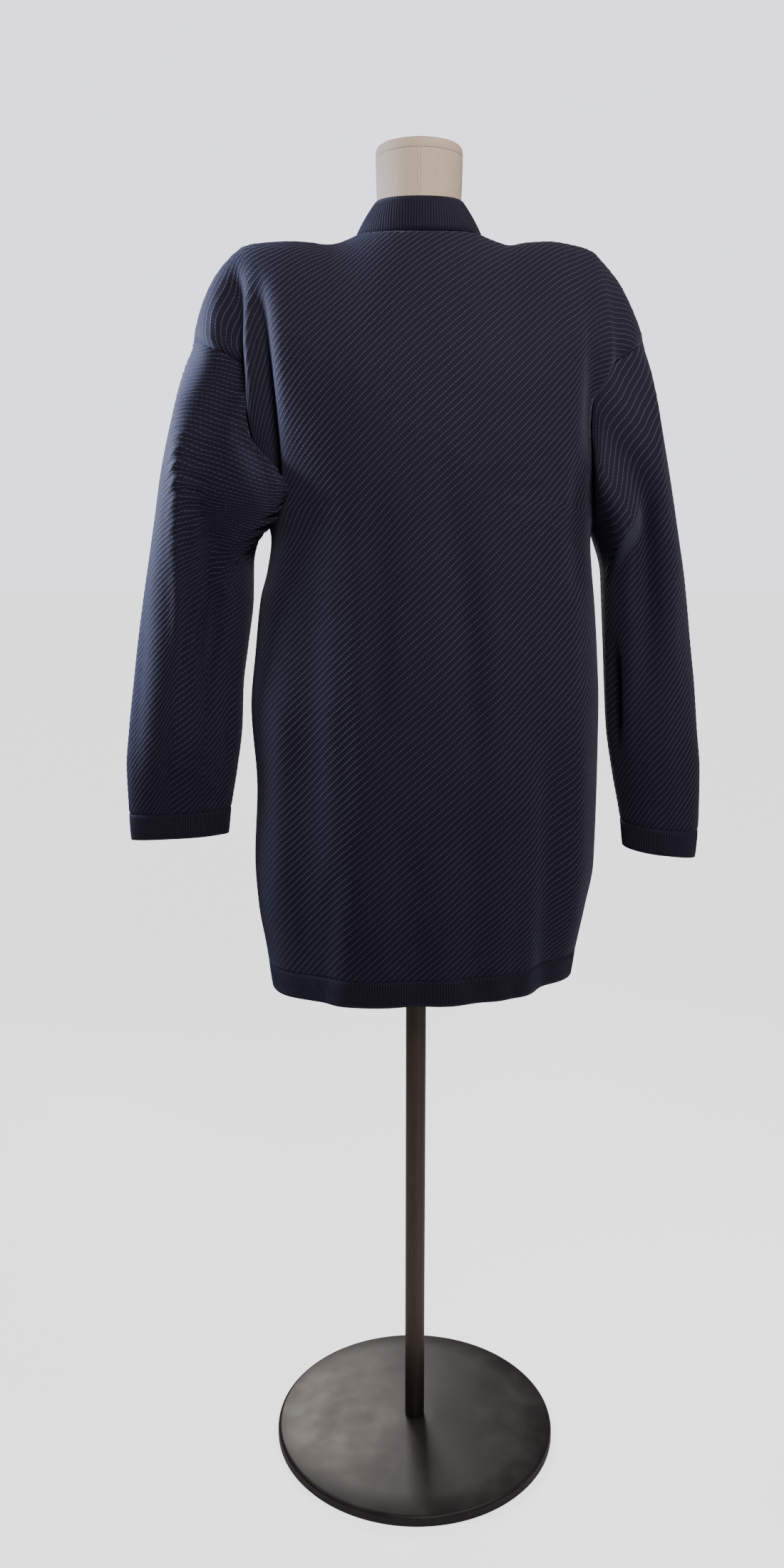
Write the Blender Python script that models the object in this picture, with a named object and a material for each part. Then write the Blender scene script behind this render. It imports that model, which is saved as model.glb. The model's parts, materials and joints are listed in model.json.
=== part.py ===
"""Oversized open-front knitted cardigan, hanging on a limbless dress form.

Metres, +Z up.  The front faces -Y, the wearer's left is +X.  The origin is on the floor,
under the middle of the stand's round base.

Every cloth piece is a wall: a grid of points on the garment's outer surface, and the same
grid moved in by the wall's thickness.  Body rows run from the hem (r = 0) to the underarm
(r = 1) and on to the shoulder seam (r = 2).  Sleeve rings run from the armhole seam to the
cuff.  Neighbouring pieces share the points of their seam and stand SEAM_GAP apart there.
"""
import math

import bmesh
import bpy
import numpy as np
from mathutils import Vector
from mathutils.kdtree import KDTree

# ---- driving dimensions -------------------------------------------------------------
WALL = 0.003            # thickness of the knitted cloth
SEAM_GAP = 0.0003       # between two pieces sewn together
HEM_DEPTH = 0.031       # ribbed band round the bottom
BAND_WIDTH = 0.034      # ribbed band round the neck and down both front edges

HEM_HEIGHT = 0.616      # bottom edge of the cloth above the floor, at centre back
HEM_TILT = -0.068       # the bottom edge drops this much for each metre towards the left
UNDERARM_ROW = 1.165    # height of the underarm row at centre back
BACK_NECK = 1.440       # height of the back neckline
NECK_SIDE = (0.068, 1.4462)     # where shoulder seam and neckline meet: x, z
NECK_ARCH = 0.023       # rise of the shoulder line carried on over the neck opening

SECTION_POWER = 2.4     # squareness of the body's plan sections
SLEEVE_POWER = 2.3      # of a sleeve's
FORM_POWER = 2.3        # and of the dress form's
SHOULDER_ROLL = 0.17    # height over which the cloth turns over the shoulder
UPPER_HALF_WIDTH = 0.258        # of the body's sections above the underarm
SLEEVE_BLEND = 0.16     # share of a sleeve over which the armhole's shape runs out
BLEND_POWER = 0.7       # how early in that stretch it does
OUTER_BLEND = 0.2       # share of that stretch that is left at the outer edge
OUTER_SHARE = 0.3       # and the share of the half round over which it grows to the whole

BAND_TOP_RADIUS = 0.0484        # of the band's free edge, round the neck
BAND_FLAT_LEAN = 1.45   # how far the band has turned over down the front, in radians
BAND_TURN = 0.085       # drop below the neck over which the band turns over
BAND_SWING = 0.040      # and over which it swings round to the front
BAND_WAY = -0.08        # depth it gains for each metre across, down the front

NECK_CENTRE_Y = 0.012   # the form's neck leans: its centre at the shoulders
NECK_LEAN = 0.006       # and how far it has come forward at the top
NECK_FOOT = 1.440       # height where the form's neck starts
NECK_RADIUS = 0.0445
CAP_RADIUS = 0.0466
NECK_TOP = 1.523
TOTAL_HEIGHT = 1.536
TORSO_BOTTOM = 0.700
FOOT_INSET = 0.97       # the torso's bottom edge is rounded in by this factor
POLE_RADIUS = 0.0122
BASE_RADIUS = 0.175
BASE_THICKNESS = 0.020
SHOULDER_CORNER = 30    # how squarely the form's shoulders end
SEAT_GAP = 0.0008       # between the form's shoulders and the cloth that rests on them


def table(columns, *rows):
    """Columns of numbers by name, with one row for each section or fold."""
    return {name: np.array(values) for name, values in zip(columns.split(), zip(*rows))}


# Plan sections of the body: half widths to the wearer's left and right, depths to back
# and front, and the place of the front edge.
BODY = table(
    "z      left   right   back   front  edge",
    (0.600, 0.171, 0.1790, 0.127, 0.112, 0.060),
    (0.655, 0.178, 0.1860, 0.133, 0.117, 0.060),
    (0.706, 0.186, 0.1975, 0.137, 0.120, 0.061),
    (0.758, 0.189, 0.2065, 0.140, 0.122, 0.062),
    (0.848, 0.185, 0.2075, 0.141, 0.124, 0.063),
    (0.936, 0.190, 0.2070, 0.140, 0.125, 0.064),
    (1.000, 0.184, 0.2035, 0.138, 0.126, 0.065),
    (1.060, 0.177, 0.1985, 0.136, 0.127, 0.067),
    (1.090, 0.169, 0.1950, 0.136, 0.128, 0.068),
    (1.125, 0.164, 0.1925, 0.135, 0.130, 0.069),
    (1.150, 0.170, 0.1960, 0.134, 0.130, 0.070),
    (1.200, 0.188, 0.2010, 0.132, 0.130, 0.073),
    (1.270, 0.215, 0.2200, 0.128, 0.127, 0.078),
    (1.302, 0.235, 0.2380, 0.125, 0.122, 0.080),
    (1.336, 0.258, 0.2580, 0.120, 0.116, 0.082),
    (1.390, 0.258, 0.2580, 0.113, 0.104, 0.081),
    (1.425, 0.258, 0.2580, 0.110, 0.094, 0.074),
    (1.4462, 0.258, 0.2580, 0.110, 0.090, 0.068))

# Height of the shoulder line, from the neck to the point of the dropped shoulder.
SHOULDER = table(
    "x      left    right",
    (0.0680, 1.4462, 1.4462),
    (0.0770, 1.4420, 1.4425),
    (0.0870, 1.4385, 1.4390),
    (0.0970, 1.4365, 1.4365),
    (0.1150, 1.4395, 1.4395),
    (0.1400, 1.4410, 1.4408),
    (0.1620, 1.4400, 1.4380),
    (0.1850, 1.4378, 1.4320),
    (0.1990, 1.4295, 1.4195),
    (0.2160, 1.4125, 1.4010),
    (0.2310, 1.3880, 1.3750),
    (0.2400, 1.3645, 1.3560),
    (0.2475, 1.3360, 1.3360))

# Armhole seam seen from behind, as shares of its length from the underarm.
ARMHOLE_LEFT = table(
    "share  x       z",
    (0.000, 0.1700, 1.150),
    (0.260, 0.1760, 1.200),
    (0.520, 0.1880, 1.268),
    (0.645, 0.2000, 1.300),
    (0.770, 0.2190, 1.322),
    (1.000, 0.2475, 1.336))
ARMHOLE_RIGHT = table(
    "share  x       z",
    (0.000, 0.1950, 1.140),
    (0.260, 0.1890, 1.200),
    (0.520, 0.1890, 1.264),
    (0.645, 0.2020, 1.293),
    (0.770, 0.2200, 1.314),
    (1.000, 0.2475, 1.336))

# Sleeve sections: outer and inner edge seen from behind, depth to the back and front.
SLEEVE_LEFT = table(
    "z      outer   inner   back    front",
    (0.770, 0.3360, 0.2230, 0.0170, 0.0170),
    (0.815, 0.3375, 0.2180, 0.0240, 0.0230),
    (0.861, 0.3380, 0.2100, 0.0360, 0.0330),
    (0.911, 0.3330, 0.2030, 0.0460, 0.0420),
    (0.960, 0.3262, 0.2005, 0.0520, 0.0470),
    (1.010, 0.3190, 0.1935, 0.0560, 0.0510),
    (1.060, 0.3105, 0.1870, 0.0600, 0.0550),
    (1.110, 0.3010, 0.1860, 0.0660, 0.0600),
    (1.150, 0.2935, 0.1860, 0.0720, 0.0660),
    (1.200, 0.2842, 0.1860, 0.0800, 0.0740),
    (1.270, 0.2665, 0.1860, 0.0800, 0.0760),
    (1.336, 0.2475, 0.1900, 0.0600, 0.0600))
SLEEVE_RIGHT = table(
    "z      outer   inner   back    front",
    (0.755, 0.3280, 0.2450, 0.0320, 0.0300),
    (0.800, 0.3300, 0.2400, 0.0350, 0.0330),
    (0.861, 0.3285, 0.2280, 0.0420, 0.0380),
    (0.911, 0.3228, 0.2200, 0.0480, 0.0430),
    (0.960, 0.3175, 0.2165, 0.0530, 0.0470),
    (1.010, 0.3105, 0.2135, 0.0570, 0.0510),
    (1.083, 0.3003, 0.2090, 0.0640, 0.0570),
    (1.150, 0.2862, 0.2060, 0.0740, 0.0660),
    (1.200, 0.2755, 0.2020, 0.0800, 0.0730),
    (1.270, 0.2605, 0.2000, 0.0800, 0.0760),
    (1.336, 0.2475, 0.2000, 0.0600, 0.0600))
SLEEVE_ENDS = {          # heights of outer and inner edge: at the cuff's seam, and at its end
    "left": {"seam": (0.809, 0.816), "end": (0.778, 0.786)},
    "right": {"seam": (0.790, 0.802), "end": (0.759, 0.771)}}

# Folds of the body: a soft line from its top to its low end, half width and depth.
# A ridge has a negative depth.
BACK_FOLDS = table(
    "x_top  z_top  x_low  z_low  width  depth",
    (0.176, 1.425, 0.158, 1.150, 0.011, 0.018),
    (0.196, 1.440, 0.206, 1.230, 0.017, 0.014),
    (-0.205, 1.430, -0.222, 1.230, 0.010, 0.010),
    (-0.180, 1.400, -0.186, 1.190, 0.012, 0.010),
    (0.115, 1.210, 0.128, 0.590, 0.030, 0.010),
    (0.050, 1.200, 0.040, 0.880, 0.022, 0.006),
    (-0.040, 1.180, -0.062, 0.860, 0.018, 0.007),
    (-0.070, 1.120, -0.085, 0.800, 0.016, -0.004),
    (-0.142, 0.960, -0.150, 0.590, 0.018, 0.011),
    (-0.175, 0.980, -0.176, 0.590, 0.014, -0.004),
    (-0.050, 0.860, -0.070, 0.590, 0.020, 0.005),
    (0.020, 0.860, 0.000, 0.590, 0.022, 0.005))
FRONT_FOLDS = table(
    "x_top  z_top  x_low  z_low  width  depth",
    (0.184, 1.430, 0.178, 1.190, 0.012, 0.012),
    (-0.186, 1.420, -0.188, 1.190, 0.012, 0.011),
    (0.204, 1.430, 0.232, 1.230, 0.012, 0.009),
    (-0.206, 1.430, -0.226, 1.230, 0.011, 0.009),
    (0.128, 1.300, 0.124, 0.590, 0.022, 0.012),
    (-0.120, 1.280, -0.128, 0.590, 0.024, 0.013),
    (0.095, 1.100, 0.092, 0.590, 0.014, -0.005),
    (-0.160, 1.050, -0.164, 0.590, 0.016, 0.007))

# Folds of a sleeve: share of the half round (0 outer edge, 1 underarm) at both ends,
# shares of the length where it starts and ends, half width in shares, and depth.
SLEEVE_FOLDS = {
    "left_back": table(
        "t_top  t_low  start  end    width  depth",
        (0.290, 0.740, -0.02, 0.200, 0.100, 0.012),
        (0.640, 0.590, 0.020, 0.860, 0.085, 0.030),
        (0.780, 0.800, 0.350, 1.100, 0.070, 0.006),
        (0.180, 0.240, 0.450, 1.050, 0.110, 0.004)),
    "left_front": table(
        "t_top  t_low  start  end    width  depth",
        (0.450, 0.520, -0.20, 0.800, 0.100, 0.020),
        (0.250, 0.300, 0.300, 1.000, 0.090, 0.006)),
    "right_back": table(
        "t_top  t_low  start  end    width  depth",
        (0.480, 0.560, -0.30, 0.750, 0.080, 0.020),
        (0.860, 0.860, 0.330, 0.850, 0.080, 0.012),
        (0.250, 0.300, 0.350, 1.050, 0.100, 0.004)),
    "right_front": table(
        "t_top  t_low  start  end    width  depth",
        (0.430, 0.500, -0.20, 0.850, 0.100, 0.020),
        (0.220, 0.260, 0.350, 1.000, 0.090, 0.006))}

# Slack cloth under each arm, bagging out below the armhole seam: share of the half round
# and its half width, shares of the length where it is full and where it ends, and how far
# it comes inwards and out.
SLEEVE_BAGS = {
    "left_back": {"t": 0.68, "width": 0.14, "full": (0.065, 0.100), "end": 0.210,
                  "inward": 0.052, "out": 0.042},
    "left_front": {"t": 0.66, "width": 0.15, "full": (0.045, 0.100), "end": 0.230,
                   "inward": 0.014, "out": 0.016},
    "right_back": {"t": 0.66, "width": 0.15, "full": (0.060, 0.150), "end": 0.210,
                   "inward": 0.012, "out": 0.034},
    "right_front": {"t": 0.66, "width": 0.15, "full": (0.045, 0.100), "end": 0.220,
                    "inward": 0.008, "out": 0.014}}

# Plan sections of the dress form below the shoulders.
FORM = table(
    "z      half   back   front",
    (0.700, 0.150, 0.106, 0.092),
    (0.780, 0.158, 0.112, 0.096),
    (0.880, 0.162, 0.112, 0.098),
    (0.980, 0.145, 0.098, 0.088),
    (1.070, 0.130, 0.086, 0.086),
    (1.160, 0.146, 0.093, 0.102),
    (1.220, 0.164, 0.092, 0.096),
    (1.280, 0.176, 0.088, 0.078))
FORM_SHOULDER = table(   # height of the form's shoulder line under the cloth
    "x      z",
    (0.000, 1.4520),
    (0.045, 1.4420),
    (0.063, 1.4380),
    (0.087, 1.4325),
    (0.100, 1.4325),
    (0.115, 1.4395 - WALL - SEAT_GAP),
    (0.140, 1.4406 - WALL - SEAT_GAP),
    (0.176, 1.4360 - WALL - SEAT_GAP))

NECK_ROOT_RADIUS = NECK_RADIUS + 0.002
NECK = table(            # sections of the form's neck above the shoulders
    "z      radius",
    (1.466, NECK_RADIUS),
    (1.480, NECK_RADIUS + 0.0006),
    (1.497, NECK_RADIUS + 0.0015),
    (NECK_TOP, CAP_RADIUS))
CAP = table(             # the neck's cap: shares of its radius, and of its height
    "share  rise",
    (0.999, 0.0),
    (1.000, 0.31),
    (0.985, 0.63),
    (0.930, 0.85),
    (0.600, 1.0))
BASE = table(            # the round base: a flat foot, a rim and a low crown
    "radius z",
    (BASE_RADIUS - 0.002, 0.0),
    (BASE_RADIUS, 0.002),
    (BASE_RADIUS, 0.010),
    (BASE_RADIUS - 0.004, 0.014),
    (BASE_RADIUS * 0.55, 0.0175),
    (POLE_RADIUS * 2, BASE_THICKNESS))

# ---- resolution -----------------------------------------------------------------------
NECK_COLUMNS = 4        # body columns from centre back to the side of the neck
SHOULDER_COLUMNS = 13   # and on to the armhole
LOWER_ROWS = 14         # body rows from the hem band to the underarm
ARMHOLE_SHARES = (0, 0.1, 0.2, 0.3, 0.4, 0.5, 0.6, 0.7, 0.79, 0.87, 0.93, 0.97, 0.992, 1)
SLEEVE_STATIONS = (0, 0.018, 0.045, 0.08, 0.115, 0.15, 0.18, 0.21, 0.25, 0.30, 0.36, 0.42,
                   0.49, 0.56, 0.63, 0.70, 0.77, 0.84, 0.92, 1)
FORM_SIDES = 28
POLE_SIDES = 20
BASE_SIDES = 48
FORM_RINGS = (TORSO_BOTTOM, 0.712, 0.78, 0.84, 0.90, 0.96, 1.02, 1.08, 1.14, 1.20, 1.25, 1.28)
SHOULDER_RINGS = (0.985, 0.95, 0.88, 0.78, 0.64, 0.48, 0.32, 0.16, 0.0)    # from rim to neck
SAME_POINT = 0.0002     # points closer than this are the same point of a seam
SOFT_TURN = 0.4         # least cosine between two walls that share a direction

MATERIALS = {            # colour, roughness and metallic value
    "navy_knit": ((0.016, 0.017, 0.030), 0.92, 0.0),
    "navy_rib": ((0.014, 0.015, 0.027), 0.92, 0.0),
    "linen": ((0.58, 0.47, 0.38), 0.90, 0.0),
    "cap_linen": ((0.55, 0.45, 0.36), 0.90, 0.0),
    "pole_steel": ((0.20, 0.17, 0.15), 0.42, 0.9),
    "base_enamel": ((0.05, 0.05, 0.05), 0.45, 0.3)}


SEWN_EDGES = {           # edges of each piece that are sewn to another one
    "back": ("first_row", "last_row", "first_column", "last_column"),
    "front": ("first_row", "last_row", "first_column", "last_column"),
    "hem_band_back": ("last_row", "first_column", "last_column"),
    "hem_band_front": ("last_row", "first_column", "last_column"),
    "sleeve": ("first_row", "last_row"),
    "cuff": ("first_row",),
    "band": ("first_row", "join")}


# ---- curves through the tables --------------------------------------------------------
def smooth(xs, ys, at):
    """Values at some places of a cubic curve through the rows, level past both ends."""
    at = np.asarray(at, dtype=float)
    rise = np.diff(ys) / np.diff(xs)
    slopes = np.concatenate([rise[:1], np.zeros(len(xs) - 2), rise[-1:]])
    product = rise[:-1] * rise[1:]
    rising = product > 0
    slopes[1:-1][rising] = 2 * product[rising] / (rise[:-1] + rise[1:])[rising]
    i = np.clip(np.searchsorted(xs, at) - 1, 0, len(xs) - 2)
    step = xs[i + 1] - xs[i]
    t = np.clip((at - xs[i]) / step, 0, 1)
    start = (1 + 2 * t) * (1 - t) ** 2 * ys[i] + t * (1 - t) ** 2 * step * slopes[i]
    end = t * t * (3 - 2 * t) * ys[i + 1] - t * t * (1 - t) * step * slopes[i + 1]
    return start + end


def ease(t):
    """A soft step from 0 to 1."""
    t = np.clip(t, 0, 1)
    return t * t * (3 - 2 * t)


def side_name(side):
    return "left" if side > 0 else "right"


def armhole(side):
    return ARMHOLE_LEFT if side > 0 else ARMHOLE_RIGHT


def shoulder_height(side, x):
    """Height of the shoulder line, carried on over the neck opening in a low arch."""
    x = np.abs(x)
    arch = NECK_ARCH * np.clip(1 - (x / NECK_SIDE[0]) ** 2, 0, 1)
    return smooth(SHOULDER["x"], SHOULDER[side_name(side)], x) + arch


# ---- the body -------------------------------------------------------------------------
def half_width(side, z):
    return smooth(BODY["z"], BODY[side_name(side)], z)


def section_angle(side, x, z):
    """Angle on the plan section at height z that gives a place x."""
    share = np.clip(np.abs(x) / half_width(side, z), 0, 1)
    return np.arcsin(share ** (SECTION_POWER / 2))


def fold_depth(folds, x, z):
    """How far the folds draw the cloth in at a place on the body."""
    total = 0.0
    for x_top, z_top, x_low, z_low, width, depth in zip(*folds.values()):
        along = (z_top - z) / (z_top - z_low)
        centre = x_top + (x_low - x_top) * np.clip(along, 0, 1)
        open_end = 1.0 if z_low < 0.6 else ease((1 - along) / 0.3)
        total = total + depth * ease(along / 0.3) * open_end * np.exp(-((x - centre) / width) ** 2)
    return total


def row_height(side, h, r):
    """Height of row r at the column h, 0 at the middle and 1 at the side."""
    seam = armhole(side)
    underarm = UNDERARM_ROW + (seam["z"][0] - UNDERARM_ROW) * h ** 2
    top_angle = section_angle(side, seam["x"][-1], BODY["z"][-1])
    top_x = UPPER_HALF_WIDTH * np.sin(top_angle * h) ** (2 / SECTION_POWER)
    neck = BACK_NECK + (NECK_SIDE[1] - BACK_NECK) * (top_x / NECK_SIDE[0]) ** 2
    top = np.where(top_x < NECK_SIDE[0], neck, shoulder_height(side, top_x))
    hem = HEM_HEIGHT + HEM_TILT * side * half_width(side, HEM_HEIGHT) * h
    edge_share = (smooth(seam["share"], seam["z"], r - 1) - seam["z"][0]) \
        / (seam["z"][-1] - seam["z"][0])
    share = (r - 1) + (edge_share - (r - 1)) * h ** 3
    return np.where(r <= 1, hem + (underarm - hem) * r, underarm + (top - underarm) * share)


def body_point(side, face, h, r):
    """Point on the body's outer surface; face is +1 for the back and -1 for a front.

    On the back h runs from centre back to the side.  On a front it is measured from the
    shoulder's neck end, so that both panels have the same columns along the shoulder.
    """
    z = row_height(side, h, r)
    seam = armhole(side)
    edge_x = np.where(r <= 1, half_width(side, z), smooth(seam["share"], seam["x"], r - 1))
    edge_z = row_height(side, np.ones_like(h), r)
    outer = np.where(r <= 1, math.pi / 2, section_angle(side, edge_x, edge_z))
    if face > 0:
        angle = outer * h
    else:
        neck_h = neck_column(side)
        front_z = row_height(side, np.full_like(h, neck_h), r)
        start = section_angle(side, smooth(BODY["z"], BODY["edge"], front_z), front_z)
        angle = start + (outer - start) * (h - neck_h) / (1 - neck_h)
    angle = np.clip(angle, 0, math.pi / 2)
    across = np.sin(angle) ** (2 / SECTION_POWER)
    x = half_width(side, z) * across
    depth = smooth(BODY["z"], BODY["back" if face > 0 else "front"], z)
    below = np.clip((shoulder_height(side, x) - z) / SHOULDER_ROLL, 0, 1)
    turn = np.sqrt(1 - (1 - below) ** 2)
    y = depth * turn * np.cos(angle) ** (2 / SECTION_POWER)
    fold = fold_depth(BACK_FOLDS if face > 0 else FRONT_FOLDS, side * x, z)
    at_seam = ease((r - 1) / 0.25) * ease((2 - r) / 0.12)
    fold = fold * turn * np.maximum(ease((1 - h) / 0.12), at_seam)
    fold = fold * np.where(r > 1, 1, ease((1 - h) / 0.2))
    out_x = np.sin(angle) ** (2 - 2 / SECTION_POWER) / half_width(side, z)
    out_y = np.cos(angle) ** (2 - 2 / SECTION_POWER) / depth
    size = np.hypot(out_x, out_y)
    x = x - fold * out_x / size
    y = y - fold * out_y / size
    return np.stack([side * x, face * y, z + 0 * x], axis=-1)


def neck_column(side):
    """Column of the shoulder's neck end."""
    outer = section_angle(side, armhole(side)["x"][-1], BODY["z"][-1])
    return float(section_angle(side, NECK_SIDE[0], BODY["z"][-1]) / outer)


def columns(side):
    """Places of the body's columns, from centre back to the side, with one at the neck."""
    neck = neck_column(side)
    inner = np.linspace(0, neck, NECK_COLUMNS + 1)[:-1]
    return np.concatenate([inner, np.linspace(neck, 1, SHOULDER_COLUMNS + 1)])


def hem_share(side):
    """Row at the top of the hem band."""
    return HEM_DEPTH / (UNDERARM_ROW - HEM_HEIGHT)


def body_rows(side, part):
    seam_row = hem_share(side)
    if part == "hem":
        return np.array([0, seam_row])
    lower = np.linspace(seam_row, 1, LOWER_ROWS + 1)
    return np.concatenate([lower, 1 + np.array(ARMHOLE_SHARES[1:])])


def body_grid(side, face, part):
    h = columns(side)
    if face < 0:
        h = h[NECK_COLUMNS:]
    hh, rr = np.meshgrid(h, body_rows(side, part))
    return body_point(side, face, hh, rr)


def back_grid(part):
    """The whole back, from the right side to the left."""
    right = body_grid(-1, 1, part)[:, ::-1]
    left = body_grid(1, 1, part)
    middle = (right[:, -1:] + left[:, :1]) / 2
    return np.concatenate([right[:, :-1], middle, left[:, 1:]], axis=1)


# ---- sleeves --------------------------------------------------------------------------
def sleeve_point(side, face, t, s):
    """Point on a sleeve: t from the outer edge (0) to the underarm (1), s along it."""
    name = side_name(side)
    sections = SLEEVE_LEFT if side > 0 else SLEEVE_RIGHT
    seam = body_point(side, face, np.ones_like(t), 2 - t)
    outer_end, inner_end = SLEEVE_ENDS[name]["seam"]
    seams = armhole(side)["z"]
    outer_z = seams[-1] + (outer_end - seams[-1]) * s
    inner_z = seams[0] + (inner_end - seams[0]) * s
    own_z = outer_z + (inner_z - outer_z) * (1 - np.cos(math.pi * t)) / 2
    reach = SLEEVE_BLEND * (OUTER_BLEND + (1 - OUTER_BLEND) * ease(t / OUTER_SHARE))
    blend = ease(s / reach) ** BLEND_POWER
    z = seam[..., 2] + (outer_end - seams[-1]) * s * (1 - t) + (inner_end - seams[0]) * s * t
    z = z + (own_z - z) * blend
    section = section_point(sections, face, t, z, SLEEVE_FOLDS[name + "_" + face_name(face)], s)
    start = seam[..., :2] * np.array([side, 1])
    flat = start + (section - start) * blend[..., None]
    bag = SLEEVE_BAGS[name + "_" + face_name(face)]
    full_from, full_to = bag["full"]
    slack = ease(s / full_from) * ease((bag["end"] - s) / (bag["end"] - full_to))
    slack = slack * np.exp(-((t - bag["t"]) / bag["width"]) ** 2) * ease((1 - t) / 0.15)
    x = flat[..., 0] - slack * bag["inward"]
    y = flat[..., 1] + slack * bag["out"] * face
    return np.stack([side * x, y, z], axis=-1)


def face_name(face):
    return "back" if face > 0 else "front"


def section_point(sections, face, t, z, folds, s):
    """Plan place on a sleeve section, with its folds drawn in along the section's normal."""
    outer = smooth(sections["z"], sections["outer"], z)
    inner = smooth(sections["z"], sections["inner"], z)
    depth = smooth(sections["z"], sections[face_name(face)], z)
    angle = math.pi * t
    power = 2 / SLEEVE_POWER
    half = (outer - inner) / 2
    x = (outer + inner) / 2 + half * np.sign(np.cos(angle)) * np.abs(np.cos(angle)) ** power
    y = depth * np.abs(np.sin(angle)) ** power
    out_x = np.sign(np.cos(angle)) * np.abs(np.cos(angle)) ** (2 - power) / half
    out_y = np.abs(np.sin(angle)) ** (2 - power) / depth
    size = np.hypot(out_x, out_y)
    fold = 0.0
    for t_top, t_low, start, end, width, deep in zip(*folds.values()):
        along = np.clip((s - start) / (end - start), 0, 1)
        centre = t_top + (t_low - t_top) * along
        reach = ease(along / 0.35) * ease((1 - along) / 0.45)
        fold = fold + deep * reach * np.exp(-((t - centre) / width) ** 2)
    fold = fold * ease(t / 0.12) * ease((1 - t) / 0.12)
    return np.stack([x - fold * out_x / size, face * (y - fold * out_y / size)], axis=-1)


def ring_shares():
    """Shares of a half round, from the outer edge to the underarm."""
    return 1 - np.array(ARMHOLE_SHARES[::-1], dtype=float)


def sleeve_grid(side):
    """Rings of a sleeve, wound outer edge, back, underarm, front."""
    t, s = np.meshgrid(ring_shares(), np.array(SLEEVE_STATIONS, dtype=float))
    back = sleeve_point(side, 1, t, s)
    front = sleeve_point(side, -1, t, s)
    middle = (back[:, [0, -1]] + front[:, [0, -1]]) / 2
    middle[..., 1] = 0
    back[:, [0, -1]] = middle
    front[:, [0, -1]] = middle
    return np.concatenate([back, front[:, -2:0:-1]], axis=1)


def cuff_grid(side, last_ring):
    """The cuff: two rings that carry the sleeve's last ring on to its end."""
    name = side_name(side)
    sections = SLEEVE_LEFT if side > 0 else SLEEVE_RIGHT
    outer_seam, inner_seam = SLEEVE_ENDS[name]["seam"]
    outer_end, inner_end = SLEEVE_ENDS[name]["end"]
    t = ring_shares()
    rings = [last_ring]
    for share in (0.5, 1.0):
        halves = []
        for face in (1, -1):
            angle = (1 - np.cos(math.pi * t)) / 2
            high = outer_seam + (inner_seam - outer_seam) * angle
            low = outer_end + (inner_end - outer_end) * angle
            z = high + (low - high) * share
            folds = SLEEVE_FOLDS[name + "_" + face_name(face)]
            flat = section_point(sections, face, t, z, folds, np.ones_like(t))
            halves.append(np.stack([side * flat[:, 0], flat[:, 1], z], axis=-1))
        rings.append(np.concatenate([halves[0], halves[1][-2:0:-1]]))
    return np.array(rings)


# ---- the band -------------------------------------------------------------------------
def band_line(side):
    """Seam of the band: half the back neck, then down the front edge to the hem."""
    h = columns(side)[:NECK_COLUMNS + 1]
    neck = body_point(side, 1, h, np.full_like(h, 2.0))
    rows = np.concatenate([body_rows(side, "panel")[::-1], [0.0]])
    edge_h = np.full_like(rows, neck_column(side))
    edge = body_point(side, -1, edge_h, rows)
    return np.concatenate([neck, edge[1:]]), len(neck)


def band_free_edge(seam, side, neck_count):
    """Free edge of the band: it stands up round the neck and lies flat down the front."""
    free = seam.copy()
    centre = np.array([0, NECK_CENTRE_Y])
    for i in range(len(seam)):
        if i < neck_count:
            way = seam[i, :2] - centre
            inward = np.linalg.norm(way) - BAND_TOP_RADIUS
            way = -way / np.linalg.norm(way)
            lean = math.asin(inward / BAND_WIDTH)
        else:
            drop = NECK_SIDE[1] - seam[i, 2]
            swing = float(ease(drop / BAND_SWING))
            way = neck_way + (np.array([-side, BAND_WAY]) - neck_way) * swing
            way /= np.linalg.norm(way)
            lean = neck_lean + (BAND_FLAT_LEAN - neck_lean) * float(ease(drop / BAND_TURN))
        if i == neck_count - 1:
            neck_way, neck_lean = way, lean
        free[i, :2] += way * BAND_WIDTH * math.sin(lean)
        free[i, 2] += BAND_WIDTH * math.cos(lean)
    free[-1, 2] = seam[-1, 2]
    return free


def band_grid():
    """The whole band from the right hem, round the neck, to the left hem."""
    lines = []
    for side in (-1, 1):
        seam, count = band_line(side)
        free = band_free_edge(seam, side, count)
        middle = (seam + free) / 2
        lines.append(np.stack([seam, middle, free]))
    right, left = lines
    join = (right[:, :1] + left[:, :1]) / 2
    join[:, :, 0] = 0
    return np.concatenate([right[:, :0:-1], join, left[:, 1:]], axis=1)


# ---- walls ----------------------------------------------------------------------------
def grid_normals(grid, closed):
    """Unit normals of a grid of points; closed grids go right round."""
    down = np.gradient(grid, axis=0)
    if closed:
        wide = np.concatenate([grid[:, -1:], grid, grid[:, :1]], axis=1)
        across = np.gradient(wide, axis=1)[:, 1:-1]
    else:
        across = np.gradient(grid, axis=1)
    normal = np.cross(across, down)
    return normal / np.linalg.norm(normal, axis=-1, keepdims=True)


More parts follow.
